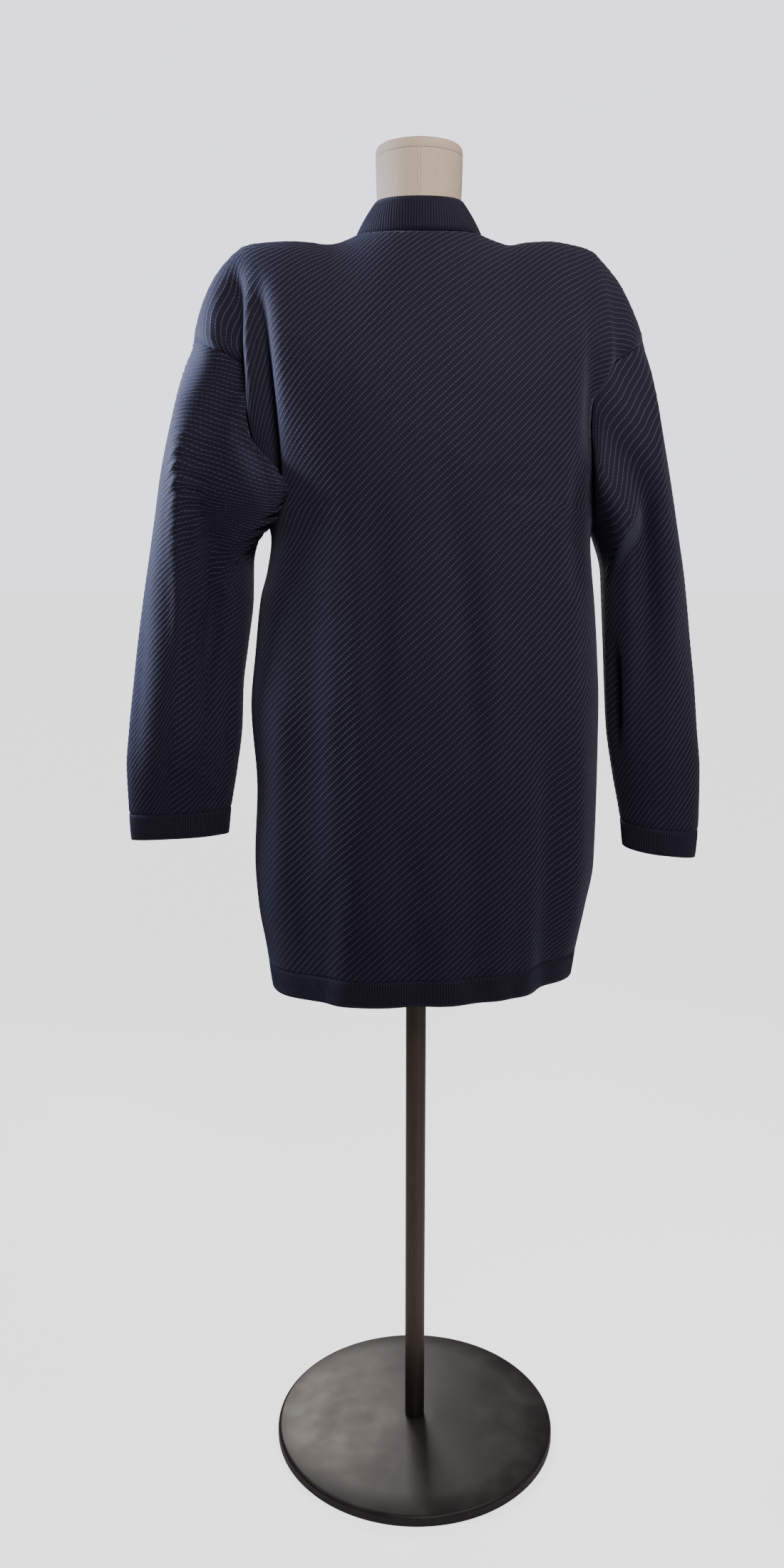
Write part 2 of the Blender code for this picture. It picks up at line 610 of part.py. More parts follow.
class Panel:
    """One cloth piece: its outer points and, at each, the way out of the wall."""

    def __init__(self, name, grid, closed=False, turned=False, material="navy_knit"):
        self.name = name
        self.grid = grid
        self.closed = closed
        self.turned = turned
        self.material = material
        self.out = grid_normals(grid, closed) * (-1 if turned else 1)

    def trim(self, edge):
        """Draw an edge in by half the seam's gap."""
        if edge == "join":
            edge = "first_column" if self.name.endswith("left") else "last_column"
        near, far = {"first_row": ((0,), (1,)), "last_row": ((-1,), (-2,)),
                     "first_column": ((slice(None), 0), (slice(None), 1)),
                     "last_column": ((slice(None), -1), (slice(None), -2))}[edge]
        way = self.grid[far] - self.grid[near]
        way /= np.linalg.norm(way, axis=-1, keepdims=True)
        self.grid[near] = self.grid[near] + way * SEAM_GAP / 2

    def build(self, thickness=WALL):
        rows, cols = self.grid.shape[:2]
        outer = self.grid.reshape(-1, 3)
        inner = (self.grid - self.out * thickness).reshape(-1, 3)
        mesh = bmesh.new()
        points = [mesh.verts.new(p) for p in np.concatenate([outer, inner])]
        count = rows * cols

        def face(a, b, c, d):
            for corners in ((a, b, c), (a, c, d)):
                order = corners[::-1] if self.turned else corners
                mesh.faces.new([points[i] for i in order])

        last = cols if self.closed else cols - 1
        for i in range(rows - 1):
            for j in range(last):
                a, b = i * cols + j, i * cols + (j + 1) % cols
                c, d = b + cols, a + cols
                face(a, b, c, d)
                face(a + count, d + count, c + count, b + count)
        for i in (0, rows - 1):
            for j in range(last):
                a, b = i * cols + j, i * cols + (j + 1) % cols
                if i == 0:
                    face(a, a + count, b + count, b)
                else:
                    face(a, b, b + count, a + count)
        if not self.closed:
            for i in range(rows - 1):
                for j in (0, cols - 1):
                    a, d = i * cols + j, (i + 1) * cols + j
                    if j == 0:
                        face(a, d, d + count, a + count)
                    else:
                        face(a, a + count, d + count, d)
        return finish(self.name, mesh, self.material)


def share_walls(panels):
    """Give the edges that meet in a seam the same wall direction, where it turns softly."""
    edges = []
    for panel in panels:
        rows, cols = panel.grid.shape[:2]
        for i in range(rows):
            for j in range(cols):
                on_side = not panel.closed and j in (0, cols - 1)
                if i in (0, rows - 1) or on_side:
                    edges.append((panel, i, j))
    tree = KDTree(len(edges))
    for number, (panel, i, j) in enumerate(edges):
        tree.insert(Vector(panel.grid[i, j]), number)
    tree.balance()
    own = [panel.out[i, j].copy() for panel, i, j in edges]
    for number, (panel, i, j) in enumerate(edges):
        near = tree.find_range(Vector(panel.grid[i, j]), SAME_POINT)
        alike = [own[k] for _, k, _ in near if np.dot(own[k], own[number]) > SOFT_TURN]
        mean = np.sum(alike, axis=0)
        panel.out[i, j] = mean / np.linalg.norm(mean)


# ---- objects --------------------------------------------------------------------------
def material(name):
    colour, roughness, metallic = MATERIALS[name]
    made = bpy.data.materials.get(name) or bpy.data.materials.new(name)
    made.use_nodes = True
    shader = made.node_tree.nodes["Principled BSDF"]
    shader.inputs["Base Color"].default_value = (*colour, 1)
    shader.inputs["Roughness"].default_value = roughness
    shader.inputs["Metallic"].default_value = metallic
    return made


def finish(name, mesh, material_name):
    data = bpy.data.meshes.new(name)
    mesh.normal_update()
    mesh.to_mesh(data)
    mesh.free()
    data.shade_smooth()
    data.set_sharp_from_angle(angle=math.radians(50))
    data.materials.append(material(material_name))
    made = bpy.data.objects.new(name, data)
    bpy.context.collection.objects.link(made)
    return made


def loft(name, rings, material_name):
    """Closed solid through rings of points, from the lowest up, with flat ends."""
    mesh = bmesh.new()
    loops = [[mesh.verts.new(p) for p in ring] for ring in rings]
    sides = len(loops[0])
    for low, high in zip(loops, loops[1:]):
        for j in range(sides):
            k = (j + 1) % sides
            mesh.faces.new((low[j], low[k], high[k], high[j]))
    mesh.faces.new(loops[0][::-1])
    mesh.faces.new(loops[-1])
    return finish(name, mesh, material_name)


def circle(radius, z, centre_y=0.0, sides=FORM_SIDES):
    angle = np.arange(sides) * 2 * math.pi / sides
    return np.stack([radius * np.cos(angle), centre_y + radius * np.sin(angle),
                     np.full(sides, z)], axis=-1)


def form_outline(half, back, front):
    """Plan section of the dress form."""
    angle = np.arange(FORM_SIDES) * 2 * math.pi / FORM_SIDES
    power = 2 / FORM_POWER
    depth = np.where(np.sin(angle) > 0, back, front)
    x = half * np.sign(np.cos(angle)) * np.abs(np.cos(angle)) ** power
    y = depth * np.sign(np.sin(angle)) * np.abs(np.sin(angle)) ** power
    return x, y


def form_torso():
    """Torso of the dress form, with shoulders that carry the cloth, and its neck."""
    rings = []
    for z in FORM_RINGS:
        inset = FOOT_INSET if z == TORSO_BOTTOM else 1.0
        sizes = [float(smooth(FORM["z"], FORM[k], z)) * inset for k in ("half", "back", "front")]
        x, y = form_outline(*sizes)
        rings.append(np.stack([x, y, np.full(FORM_SIDES, z)], axis=-1))
    half, back, front = FORM["half"][-1], FORM["back"][-1], FORM["front"][-1]
    rim_x, rim_y = form_outline(half, back, front)
    neck = circle(NECK_ROOT_RADIUS, 0, NECK_CENTRE_Y)
    low = FORM["z"][-1]
    for rho in SHOULDER_RINGS:
        x = neck[:, 0] + (rim_x - neck[:, 0]) * rho
        y = neck[:, 1] + (rim_y - neck[:, 1]) * rho
        depth = np.where(y > 0, back, front)
        room = np.clip(1 - np.abs(x / half) ** SHOULDER_CORNER - (y / depth) ** 2, 0, 1)
        crest = smooth(FORM_SHOULDER["x"], FORM_SHOULDER["z"], np.abs(x))
        rings.append(np.stack([x, y, low + (crest - low) * np.sqrt(room)], axis=-1))
    for z, radius in zip(*NECK.values()):
        lean = NECK_LEAN * (z - NECK_FOOT) / (NECK_TOP - NECK_FOOT)
        rings.append(circle(radius, z, NECK_CENTRE_Y - lean))
    return loft("form_torso", rings, "linen")


def neck_cap():
    low = NECK_TOP + SEAM_GAP
    rings = [circle(CAP_RADIUS * share, low + (TOTAL_HEIGHT - low) * rise,
                    NECK_CENTRE_Y - NECK_LEAN) for share, rise in zip(*CAP.values())]
    return loft("form_neck_cap", rings, "cap_linen")


def stand():
    top = TORSO_BOTTOM - SEAM_GAP
    low = BASE_THICKNESS + SEAM_GAP
    pole = [circle(POLE_RADIUS, z, 0, POLE_SIDES) for z in (low, top)]
    loft("stand_pole", pole, "pole_steel")
    base = [circle(radius, z, 0, BASE_SIDES) for radius, z in zip(*BASE.values())]
    loft("stand_base", base, "base_enamel")


def cloth():
    """All cloth pieces, lined up and trimmed along their seams."""
    panels = [
        Panel("back", back_grid("panel"), turned=True),
        Panel("hem_band_back", back_grid("hem"), turned=True, material="navy_rib")]
    for side in (1, -1):
        name = side_name(side)
        turned = side < 0
        sleeve = sleeve_grid(side)
        panels += [
            Panel("front_" + name, body_grid(side, -1, "panel"), turned=turned),
            Panel("hem_band_front_" + name, body_grid(side, -1, "hem"), turned=turned,
                  material="navy_rib"),
            Panel("sleeve_" + name, sleeve, closed=True, turned=not turned),
            Panel("cuff_" + name, cuff_grid(side, sleeve[-1]), closed=True,
                  turned=not turned, material="navy_rib")]
    band = band_grid()
    join = band.shape[1] // 2 - 1
    panels += [
        Panel("band_right", band[:, :join + 1].copy(), material="navy_rib"),
        Panel("band_left", band[:, join:].copy(), material="navy_rib")]
    share_walls(panels)
    for panel in panels:
        for edge in SEWN_EDGES[panel.name.rsplit("_left")[0].rsplit("_right")[0]]:
            panel.trim(edge)
    return panels


def clear_scene():
    for old in list(bpy.data.objects):
        bpy.data.objects.remove(old, do_unlink=True)


def main():
    clear_scene()
    for panel in cloth():
        panel.build()
    form_torso()
    neck_cap()
    stand()


main()
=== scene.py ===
# Oversized knitted cardigan on a limbless dress form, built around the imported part.
# Metres, +Z up. The front faces -Y, the wearer's left is +X.
import json
import math
from functools import partial

import bpy
import numpy as np
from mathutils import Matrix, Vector

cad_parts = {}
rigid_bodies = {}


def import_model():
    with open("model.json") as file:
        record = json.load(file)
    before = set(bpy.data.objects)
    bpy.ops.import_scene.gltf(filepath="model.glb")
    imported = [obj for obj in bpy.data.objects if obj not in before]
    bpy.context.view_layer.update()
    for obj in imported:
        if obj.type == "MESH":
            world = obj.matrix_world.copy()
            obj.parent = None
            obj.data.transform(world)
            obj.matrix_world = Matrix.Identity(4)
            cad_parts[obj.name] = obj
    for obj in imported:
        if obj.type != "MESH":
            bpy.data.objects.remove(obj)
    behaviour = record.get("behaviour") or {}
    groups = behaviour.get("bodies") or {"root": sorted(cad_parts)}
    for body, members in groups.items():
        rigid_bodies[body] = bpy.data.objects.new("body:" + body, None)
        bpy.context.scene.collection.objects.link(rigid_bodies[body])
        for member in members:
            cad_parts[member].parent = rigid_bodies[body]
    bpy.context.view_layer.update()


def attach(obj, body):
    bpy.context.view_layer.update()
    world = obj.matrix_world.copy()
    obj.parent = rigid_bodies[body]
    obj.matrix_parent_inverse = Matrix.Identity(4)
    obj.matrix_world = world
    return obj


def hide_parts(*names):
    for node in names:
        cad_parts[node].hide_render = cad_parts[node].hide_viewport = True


# an empty scene first
bpy.ops.object.select_all(action="SELECT")
bpy.ops.object.delete()
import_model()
print("frame loaded")


# tables, eased steps and curves
def rowsOf(names, *rows):
    return {name: np.array(values) for name, values in zip(names.split(), zip(*rows))}


def ease(t):
    t = np.clip(t, 0, 1)
    return t * t * (3 - 2 * t)


def curveThrough(xs, ys, at):
    # cubic through the rows that never overshoots them
    at = np.asarray(at, dtype=float)
    rise = np.diff(ys) / np.diff(xs)
    slopes = np.concatenate([rise[:1], np.zeros(len(xs) - 2), rise[-1:]])
    product = rise[:-1] * rise[1:]
    rising = product > 0
    slopes[1:-1][rising] = 2 * product[rising] / (rise[:-1] + rise[1:])[rising]
    i = np.clip(np.searchsorted(xs, at) - 1, 0, len(xs) - 2)
    step = xs[i + 1] - xs[i]
    t = np.clip((at - xs[i]) / step, 0, 1)
    first = (1 + 2 * t) * (1 - t) ** 2 * ys[i] + t * (1 - t) ** 2 * step * slopes[i]
    last = t * t * (3 - 2 * t) * ys[i + 1] - t * t * (1 - t) * step * slopes[i + 1]
    return first + last


def sideName(side):
    return "left" if side > 0 else "right"


def faceName(face):
    return "back" if face > 0 else "front"


# the cardigan's body: one round form, from which back and fronts are taken
body = {
    "wall": 0.0028,
    "hemDepth": 0.031,
    "hemHeight": 0.616,
    "hemTilt": -0.068,
    "underarmRow": 1.165,
    "backNeck": 1.440,
    "neckSide": (0.068, 1.4462),
    "neckArch": 0.023,
    "power": 2.4,
    "roll": 0.17,
    "upperHalfWidth": 0.258,
    "openBelow": 0.6,      # a fold that ends below this runs out through the hem
    # shares over which folds fade: at their own ends, above the underarm row, below the
    # shoulder, and towards the side
    "fades": {"ends": 0.3, "underarm": 0.25, "shoulder": 0.12,
              "side": 0.12, "lowSide": 0.20, "fineSide": 0.15},
    "sections": rowsOf(
        "z      left   right   back   front  edge",
        (0.600, 0.171, 0.1790, 0.127, 0.112, 0.060),
        (0.655, 0.178, 0.1860, 0.133, 0.117, 0.060),
        (0.706, 0.186, 0.1975, 0.137, 0.120, 0.061),
        (0.758, 0.189, 0.2065, 0.140, 0.122, 0.062),
        (0.848, 0.185, 0.2075, 0.141, 0.124, 0.063),
        (0.936, 0.190, 0.2070, 0.140, 0.125, 0.064),
        (1.000, 0.184, 0.2035, 0.138, 0.126, 0.065),
        (1.060, 0.177, 0.1985, 0.136, 0.127, 0.067),
        (1.090, 0.169, 0.1950, 0.136, 0.128, 0.068),
        (1.125, 0.164, 0.1925, 0.135, 0.130, 0.069),
        (1.150, 0.170, 0.1960, 0.134, 0.130, 0.070),
        (1.200, 0.188, 0.2010, 0.132, 0.130, 0.073),
        (1.270, 0.215, 0.2200, 0.128, 0.127, 0.078),
        (1.302, 0.235, 0.2380, 0.125, 0.122, 0.080),
        (1.336, 0.258, 0.2580, 0.120, 0.116, 0.082),
        (1.390, 0.258, 0.2580, 0.113, 0.104, 0.081),
        (1.425, 0.258, 0.2580, 0.110, 0.094, 0.074),
        (1.4462, 0.258, 0.2580, 0.110, 0.090, 0.068)),
    "shoulder": rowsOf(
        "x      left    right",
        (0.0680, 1.4462, 1.4462),
        (0.0770, 1.4420, 1.4425),
        (0.0870, 1.4385, 1.4390),
        (0.0970, 1.4365, 1.4365),
        (0.1150, 1.4395, 1.4395),
        (0.1400, 1.4410, 1.4408),
        (0.1620, 1.4400, 1.4380),
        (0.1850, 1.4378, 1.4320),
        (0.1990, 1.4295, 1.4195),
        (0.2160, 1.4125, 1.4010),
        (0.2310, 1.3880, 1.3750),
        (0.2400, 1.3645, 1.3560),
        (0.2475, 1.3360, 1.3360)),
    "armhole": {
        1: rowsOf(
            "share  x       z",
            (0.000, 0.1700, 1.150),
            (0.260, 0.1760, 1.200),
            (0.520, 0.1880, 1.268),
            (0.645, 0.2000, 1.300),
            (0.770, 0.2190, 1.322),
            (1.000, 0.2475, 1.336)),
        -1: rowsOf(
            "share  x       z",
            (0.000, 0.1950, 1.140),
            (0.260, 0.1890, 1.200),
            (0.520, 0.1890, 1.264),
            (0.645, 0.2020, 1.293),
            (0.770, 0.2200, 1.314),
            (1.000, 0.2475, 1.336))},
    # soft lines with a half width and a depth; a ridge has a negative depth
    "folds": {
        1: rowsOf(
            "xTop    zTop   xLow    zLow   width  depth",
            (0.176, 1.425, 0.158, 1.150, 0.011, 0.018),
            (0.196, 1.440, 0.206, 1.230, 0.017, 0.014),
            (-0.205, 1.430, -0.222, 1.230, 0.010, 0.010),
            (-0.180, 1.400, -0.186, 1.190, 0.012, 0.010),
            (0.115, 1.210, 0.128, 0.590, 0.030, 0.010),
            (0.050, 1.200, 0.040, 0.880, 0.022, 0.006),
            (-0.040, 1.180, -0.062, 0.860, 0.018, 0.007),
            (-0.070, 1.120, -0.085, 0.800, 0.016, -0.004),
            (-0.142, 0.960, -0.150, 0.590, 0.018, 0.011),
            (-0.175, 0.980, -0.176, 0.590, 0.014, -0.004),
            (-0.050, 0.860, -0.070, 0.590, 0.020, 0.005),
            (0.020, 0.860, 0.000, 0.590, 0.022, 0.005)),
        -1: rowsOf(
            "xTop    zTop   xLow    zLow   width  depth",
            (0.184, 1.430, 0.178, 1.190, 0.012, 0.012),
            (-0.186, 1.420, -0.188, 1.190, 0.012, 0.011),
            (0.204, 1.430, 0.232, 1.230, 0.012, 0.009),
            (-0.206, 1.430, -0.226, 1.230, 0.011, 0.009),
            (0.128, 1.300, 0.124, 0.590, 0.022, 0.012),
            (-0.120, 1.280, -0.128, 0.590, 0.024, 0.013),
            (0.095, 1.100, 0.092, 0.590, 0.014, -0.005),
            (-0.160, 1.050, -0.164, 0.590, 0.016, 0.007))},
    # finer creases that only the knit shows
    "creases": {
        1: rowsOf(
            "xTop    zTop   xLow    zLow   width  depth",
            (0.198, 1.440, 0.207, 1.190, 0.011, 0.0170),
            (0.170, 1.400, 0.158, 1.120, 0.012, 0.0080),
            (0.085, 1.160, 0.078, 0.760, 0.012, 0.0022),
            (0.022, 1.080, 0.030, 0.900, 0.010, -0.0018),
            (-0.018, 1.240, -0.050, 0.980, 0.010, 0.0024),
            (-0.110, 1.090, -0.128, 0.820, 0.011, 0.0022),
            (-0.162, 1.240, -0.172, 1.040, 0.008, 0.0024),
            (0.090, 0.800, 0.110, 0.590, 0.013, 0.0028),
            (-0.118, 0.840, -0.104, 0.590, 0.012, 0.0026),
            (0.150, 0.980, 0.158, 0.700, 0.010, -0.0022)),
        -1: rowsOf(
            "xTop    zTop   xLow    zLow   width  depth",
            (0.110, 1.200, 0.104, 0.820, 0.010, 0.0024),
            (0.150, 1.020, 0.156, 0.700, 0.011, -0.0022),
            (-0.096, 1.160, -0.104, 0.760, 0.010, 0.0024),
            (-0.140, 0.980, -0.146, 0.640, 0.012, -0.0024),
            (-0.176, 1.150, -0.180, 0.900, 0.010, 0.0022))},
}


def shoulderHeight(side, x):
    x = np.abs(x)
    arch = body["neckArch"] * np.clip(1 - (x / body["neckSide"][0]) ** 2, 0, 1)
    line = body["shoulder"]
    return curveThrough(line["x"], line[sideName(side)], x) + arch


def bodySection(name, z):
    return curveThrough(body["sections"]["z"], body["sections"][name], z)


def sectionAngle(side, x, z):
    share = np.clip(np.abs(x) / bodySection(sideName(side), z), 0, 1)
    return np.arcsin(share ** (body["power"] / 2))


def foldDepth(folds, x, z):
    fade = body["fades"]["ends"]
    total = 0.0
    for xTop, zTop, xLow, zLow, width, depth in zip(*folds.values()):
        along = (zTop - z) / (zTop - zLow)
        centre = xTop + (xLow - xTop) * np.clip(along, 0, 1)
        lowEnd = 1.0 if zLow < body["openBelow"] else ease((1 - along) / fade)
        total = total + depth * ease(along / fade) * lowEnd * np.exp(-((x - centre) / width) ** 2)
    return total


def rowHeight(side, h, r):
    seam = body["armhole"][side]
    underarm = body["underarmRow"] + (seam["z"][0] - body["underarmRow"]) * h ** 2
    topAngle = sectionAngle(side, seam["x"][-1], body["sections"]["z"][-1])
    topX = body["upperHalfWidth"] * np.sin(topAngle * h) ** (2 / body["power"])
    neckX, neckZ = body["neckSide"]
    neck = body["backNeck"] + (neckZ - body["backNeck"]) * (topX / neckX) ** 2
    top = np.where(topX < neckX, neck, shoulderHeight(side, topX))
    reach = side * bodySection(sideName(side), body["hemHeight"])
    hem = body["hemHeight"] + body["hemTilt"] * reach * h
    seamZ = curveThrough(seam["share"], seam["z"], r - 1)
    share = (seamZ - seam["z"][0]) / (seam["z"][-1] - seam["z"][0])
    share = (r - 1) + (share - (r - 1)) * h ** 3
    return np.where(r <= 1, hem + (underarm - hem) * r, underarm + (top - underarm) * share)


def neckColumn(side):
    z = body["sections"]["z"][-1]
    outer = sectionAngle(side, body["armhole"][side]["x"][-1], z)
    return float(sectionAngle(side, body["neckSide"][0], z) / outer)


def bodyPoint(side, face, h, r):
    # h runs from the middle (0) to the side (1), r from hem (0) by underarm (1) to shoulder (2)
    z = rowHeight(side, h, r)
    seam = body["armhole"][side]
    width = bodySection(sideName(side), z)
    edgeX = np.where(r <= 1, width, curveThrough(seam["share"], seam["x"], r - 1))
    edgeZ = rowHeight(side, np.ones_like(h), r)
    outer = np.where(r <= 1, math.pi / 2, sectionAngle(side, edgeX, edgeZ))
    if face > 0:
        angle = outer * h
    else:
        neckH = neckColumn(side)
        frontZ = rowHeight(side, np.full_like(h, neckH), r)
        start = sectionAngle(side, bodySection("edge", frontZ), frontZ)
        angle = start + (outer - start) * (h - neckH) / (1 - neckH)
    angle = np.clip(angle, 0, math.pi / 2)
    across = np.sin(angle) ** (2 / body["power"])
    x = width * across
    depth = bodySection(faceName(face), z)
    below = np.clip((shoulderHeight(side, x) - z) / body["roll"], 0, 1)
    turn = np.sqrt(1 - (1 - below) ** 2)
    y = depth * turn * np.cos(angle) ** (2 / body["power"])
    # folds die out at the side seam but run on over the armhole's
    fade = body["fades"]
    overArmhole = ease((r - 1) / fade["underarm"]) * ease((2 - r) / fade["shoulder"])
    fold = foldDepth(body["folds"][face], side * x, z)
    fold = fold * turn * np.maximum(ease((1 - h) / fade["side"]), overArmhole)
    fold = fold * np.where(r > 1, 1, ease((1 - h) / fade["lowSide"]))
    fine = foldDepth(body["creases"][face], side * x, z) * turn
    fold = fold + fine * np.maximum(ease((1 - h) / fade["fineSide"]), overArmhole)
    outX = np.sin(angle) ** (2 - 2 / body["power"]) / width
    outY = np.cos(angle) ** (2 - 2 / body["power"]) / depth
    size = np.hypot(outX, outY)
    return np.stack([side * (x - fold * outX / size), face * (y - fold * outY / size),
                     z + 0 * x], axis=-1)


# the sleeves: half rounds at the back and at the front, narrowing to the cuff
sleeves = {
    "power": 2.3,
    "blend": (0.16, 0.7),
    "outerBlend": (0.2, 0.3),
    # shares over which folds fade: at their start and end, at both edges, and a bag at the underarm
    "fades": {"start": 0.35, "end": 0.45, "edge": 0.12, "bag": 0.15},
    "sections": {
        1: rowsOf(
            "z      outer   inner   back    front",
            (0.770, 0.3360, 0.2230, 0.0170, 0.0170),
            (0.815, 0.3375, 0.2180, 0.0240, 0.0230),
            (0.861, 0.3380, 0.2100, 0.0360, 0.0330),
            (0.911, 0.3330, 0.2030, 0.0460, 0.0420),
            (0.960, 0.3262, 0.2005, 0.0520, 0.0470),
            (1.010, 0.3190, 0.1935, 0.0560, 0.0510),
            (1.060, 0.3105, 0.1870, 0.0600, 0.0550),
            (1.110, 0.3010, 0.1860, 0.0660, 0.0600),
            (1.150, 0.2935, 0.1860, 0.0720, 0.0660),
            (1.200, 0.2842, 0.1860, 0.0800, 0.0740),
            (1.270, 0.2665, 0.1860, 0.0800, 0.0760),
            (1.336, 0.2475, 0.1900, 0.0600, 0.0600)),
        -1: rowsOf(
            "z      outer   inner   back    front",
            (0.755, 0.3280, 0.2450, 0.0320, 0.0300),
            (0.800, 0.3300, 0.2400, 0.0350, 0.0330),
            (0.861, 0.3285, 0.2280, 0.0420, 0.0380),
            (0.911, 0.3228, 0.2200, 0.0480, 0.0430),
            (0.960, 0.3175, 0.2165, 0.0530, 0.0470),
            (1.010, 0.3105, 0.2135, 0.0570, 0.0510),
            (1.083, 0.3003, 0.2090, 0.0640, 0.0570),
            (1.150, 0.2862, 0.2060, 0.0740, 0.0660),
            (1.200, 0.2755, 0.2020, 0.0800, 0.0730),
            (1.270, 0.2605, 0.2000, 0.0800, 0.0760),
            (1.336, 0.2475, 0.2000, 0.0600, 0.0600))},
    # finer creases that only the knit shows, with the crests beside the left sleeve's hollow
    "creases": {
        (1, 1): rowsOf(
            "tTop   tLow   start   end    width  depth",
            (0.140, 0.495, -0.12, 0.300, 0.045, -0.0050),
            (0.358, 0.530, 0.020, 0.800, 0.045, -0.0050),
            (0.196, 0.595, -0.12, 0.300, 0.055, 0.0170),
            (0.455, 0.600, 0.020, 0.780, 0.055, 0.0190),
            (0.700, 0.660, 0.020, 0.500, 0.060, -0.0100),
            (0.130, 0.190, 0.380, 0.900, 0.050, 0.0018),
            (0.900, 0.860, 0.300, 1.050, 0.040, -0.0030)),
        (1, -1): rowsOf(
            "tTop   tLow   start   end    width  depth",
            (0.400, 0.460, 0.050, 0.700, 0.050, -0.0025),
            (0.200, 0.260, 0.400, 0.950, 0.060, 0.0020)),
        (-1, 1): rowsOf(
            "tTop   tLow   start   end    width  depth",
            (0.560, 0.640, 0.020, 0.420, 0.030, 0.0060),
            (0.130, 0.160, 0.300, 0.900, 0.050, 0.0018),
            (0.700, 0.720, 0.400, 0.950, 0.035, -0.0030),
            (0.400, 0.360, 0.500, 1.050, 0.050, 0.0018)),
        (-1, -1): rowsOf(
            "tTop   tLow   start   end    width  depth",
            (0.380, 0.440, 0.050, 0.700, 0.050, -0.0025),
            (0.180, 0.240, 0.400, 0.950, 0.060, 0.0020))},
    # heights of outer and inner edge, at the cuff's seam and at its end
    "ends": {1: {"seam": (0.809, 0.816), "end": (0.778, 0.786)},
             -1: {"seam": (0.790, 0.802), "end": (0.759, 0.771)}},
    "folds": {
        (1, 1): rowsOf(
            "tTop   tLow   start   end    width  depth",
            (0.290, 0.740, -0.02, 0.200, 0.100, 0.012),
            (0.640, 0.590, 0.020, 0.860, 0.085, 0.030),
            (0.780, 0.800, 0.350, 1.100, 0.070, 0.006),
            (0.180, 0.240, 0.450, 1.050, 0.110, 0.004)),
        (1, -1): rowsOf(
            "tTop   tLow   start   end    width  depth",
            (0.450, 0.520, -0.20, 0.800, 0.100, 0.020),
            (0.250, 0.300, 0.300, 1.000, 0.090, 0.006)),
        (-1, 1): rowsOf(
            "tTop   tLow   start   end    width  depth",
            (0.480, 0.560, -0.30, 0.750, 0.080, 0.020),
            (0.860, 0.860, 0.330, 0.850, 0.080, 0.012),
            (0.250, 0.300, 0.350, 1.050, 0.100, 0.004)),
        (-1, -1): rowsOf(
            "tTop   tLow   start   end    width  depth",
            (0.430, 0.500, -0.20, 0.850, 0.100, 0.020),
            (0.220, 0.260, 0.350, 1.000, 0.090, 0.006))},
    # slack cloth that bags out under each arm
    "bags": {
        (1, 1): {"t": 0.68, "width": 0.14, "full": (0.065, 0.100), "end": 0.210,
                 "inward": 0.052, "out": 0.042},
        (1, -1): {"t": 0.66, "width": 0.15, "full": (0.045, 0.100), "end": 0.230,
                  "inward": 0.014, "out": 0.016},
        (-1, 1): {"t": 0.66, "width": 0.15, "full": (0.060, 0.150), "end": 0.210,
                  "inward": 0.012, "out": 0.034},
        (-1, -1): {"t": 0.66, "width": 0.15, "full": (0.045, 0.100), "end": 0.220,
                   "inward": 0.008, "out": 0.014}},
    # where the sleeve's own seam runs, as shares of the half round towards the back
    "seamLine": {
        1: rowsOf("s t", (0.0, 1.0), (0.10, 0.86), (0.25, 0.74), (0.45, 0.645), (1.0, 0.627)),
        -1: rowsOf("s t", (0.0, 1.0), (1.0, 1.0))},
}


def sleeveSection(side, face, t, z, s):
    rows = sleeves["sections"][side]
    outer = curveThrough(rows["z"], rows["outer"], z)
    inner = curveThrough(rows["z"], rows["inner"], z)
    depth = curveThrough(rows["z"], rows[faceName(face)], z)
    angle = math.pi * t
    power = 2 / sleeves["power"]
    half = (outer - inner) / 2
    x = (outer + inner) / 2 + half * np.sign(np.cos(angle)) * np.abs(np.cos(angle)) ** power
    y = depth * np.abs(np.sin(angle)) ** power
    outX = np.sign(np.cos(angle)) * np.abs(np.cos(angle)) ** (2 - power) / half
    outY = np.abs(np.sin(angle)) ** (2 - power) / depth
    size = np.hypot(outX, outY)
    fade = sleeves["fades"]
    fold = 0.0
    for kind in ("folds", "creases"):
        for tTop, tLow, start, end, width, deep in zip(*sleeves[kind][side, face].values()):
            along = np.clip((s - start) / (end - start), 0, 1)
            centre = tTop + (tLow - tTop) * along
            reach = ease(along / fade["start"]) * ease((1 - along) / fade["end"])
            fold = fold + deep * reach * np.exp(-((t - centre) / width) ** 2)
    fold = fold * ease(t / fade["edge"]) * ease((1 - t) / fade["edge"])
    return np.stack([x - fold * outX / size, face * (y - fold * outY / size)], axis=-1)


def sleevePoint(side, face, t, s):
    # t runs from the outer edge (0) to the underarm (1), s from the armhole to the cuff
    seam = bodyPoint(side, face, np.ones_like(t), 2 - t)
    outerEnd, innerEnd = sleeves["ends"][side]["seam"]
    seamZ = body["armhole"][side]["z"]
    outerZ = seamZ[-1] + (outerEnd - seamZ[-1]) * s
    innerZ = seamZ[0] + (innerEnd - seamZ[0]) * s
    ownZ = outerZ + (innerZ - outerZ) * (1 - np.cos(math.pi * t)) / 2
    reach, power = sleeves["blend"]
    keep, share = sleeves["outerBlend"]
    reach = reach * (keep + (1 - keep) * ease(t / share))
    blend = ease(s / reach) ** power
    z = seam[..., 2] + (outerEnd - seamZ[-1]) * s * (1 - t) + (innerEnd - seamZ[0]) * s * t
    z = z + (ownZ - z) * blend
    section = sleeveSection(side, face, t, z, s)
    start = seam[..., :2] * np.array([side, 1])
    flat = start + (section - start) * blend[..., None]
    bag = sleeves["bags"][side, face]
    slack = ease(s / bag["full"][0]) * ease((bag["end"] - s) / (bag["end"] - bag["full"][1]))
    slack = slack * np.exp(-((t - bag["t"]) / bag["width"]) ** 2)
    slack = slack * ease((1 - t) / sleeves["fades"]["bag"])
    x = flat[..., 0] - slack * bag["inward"]
    y = flat[..., 1] + slack * bag["out"] * face
    return np.stack([side * x, y, z], axis=-1)


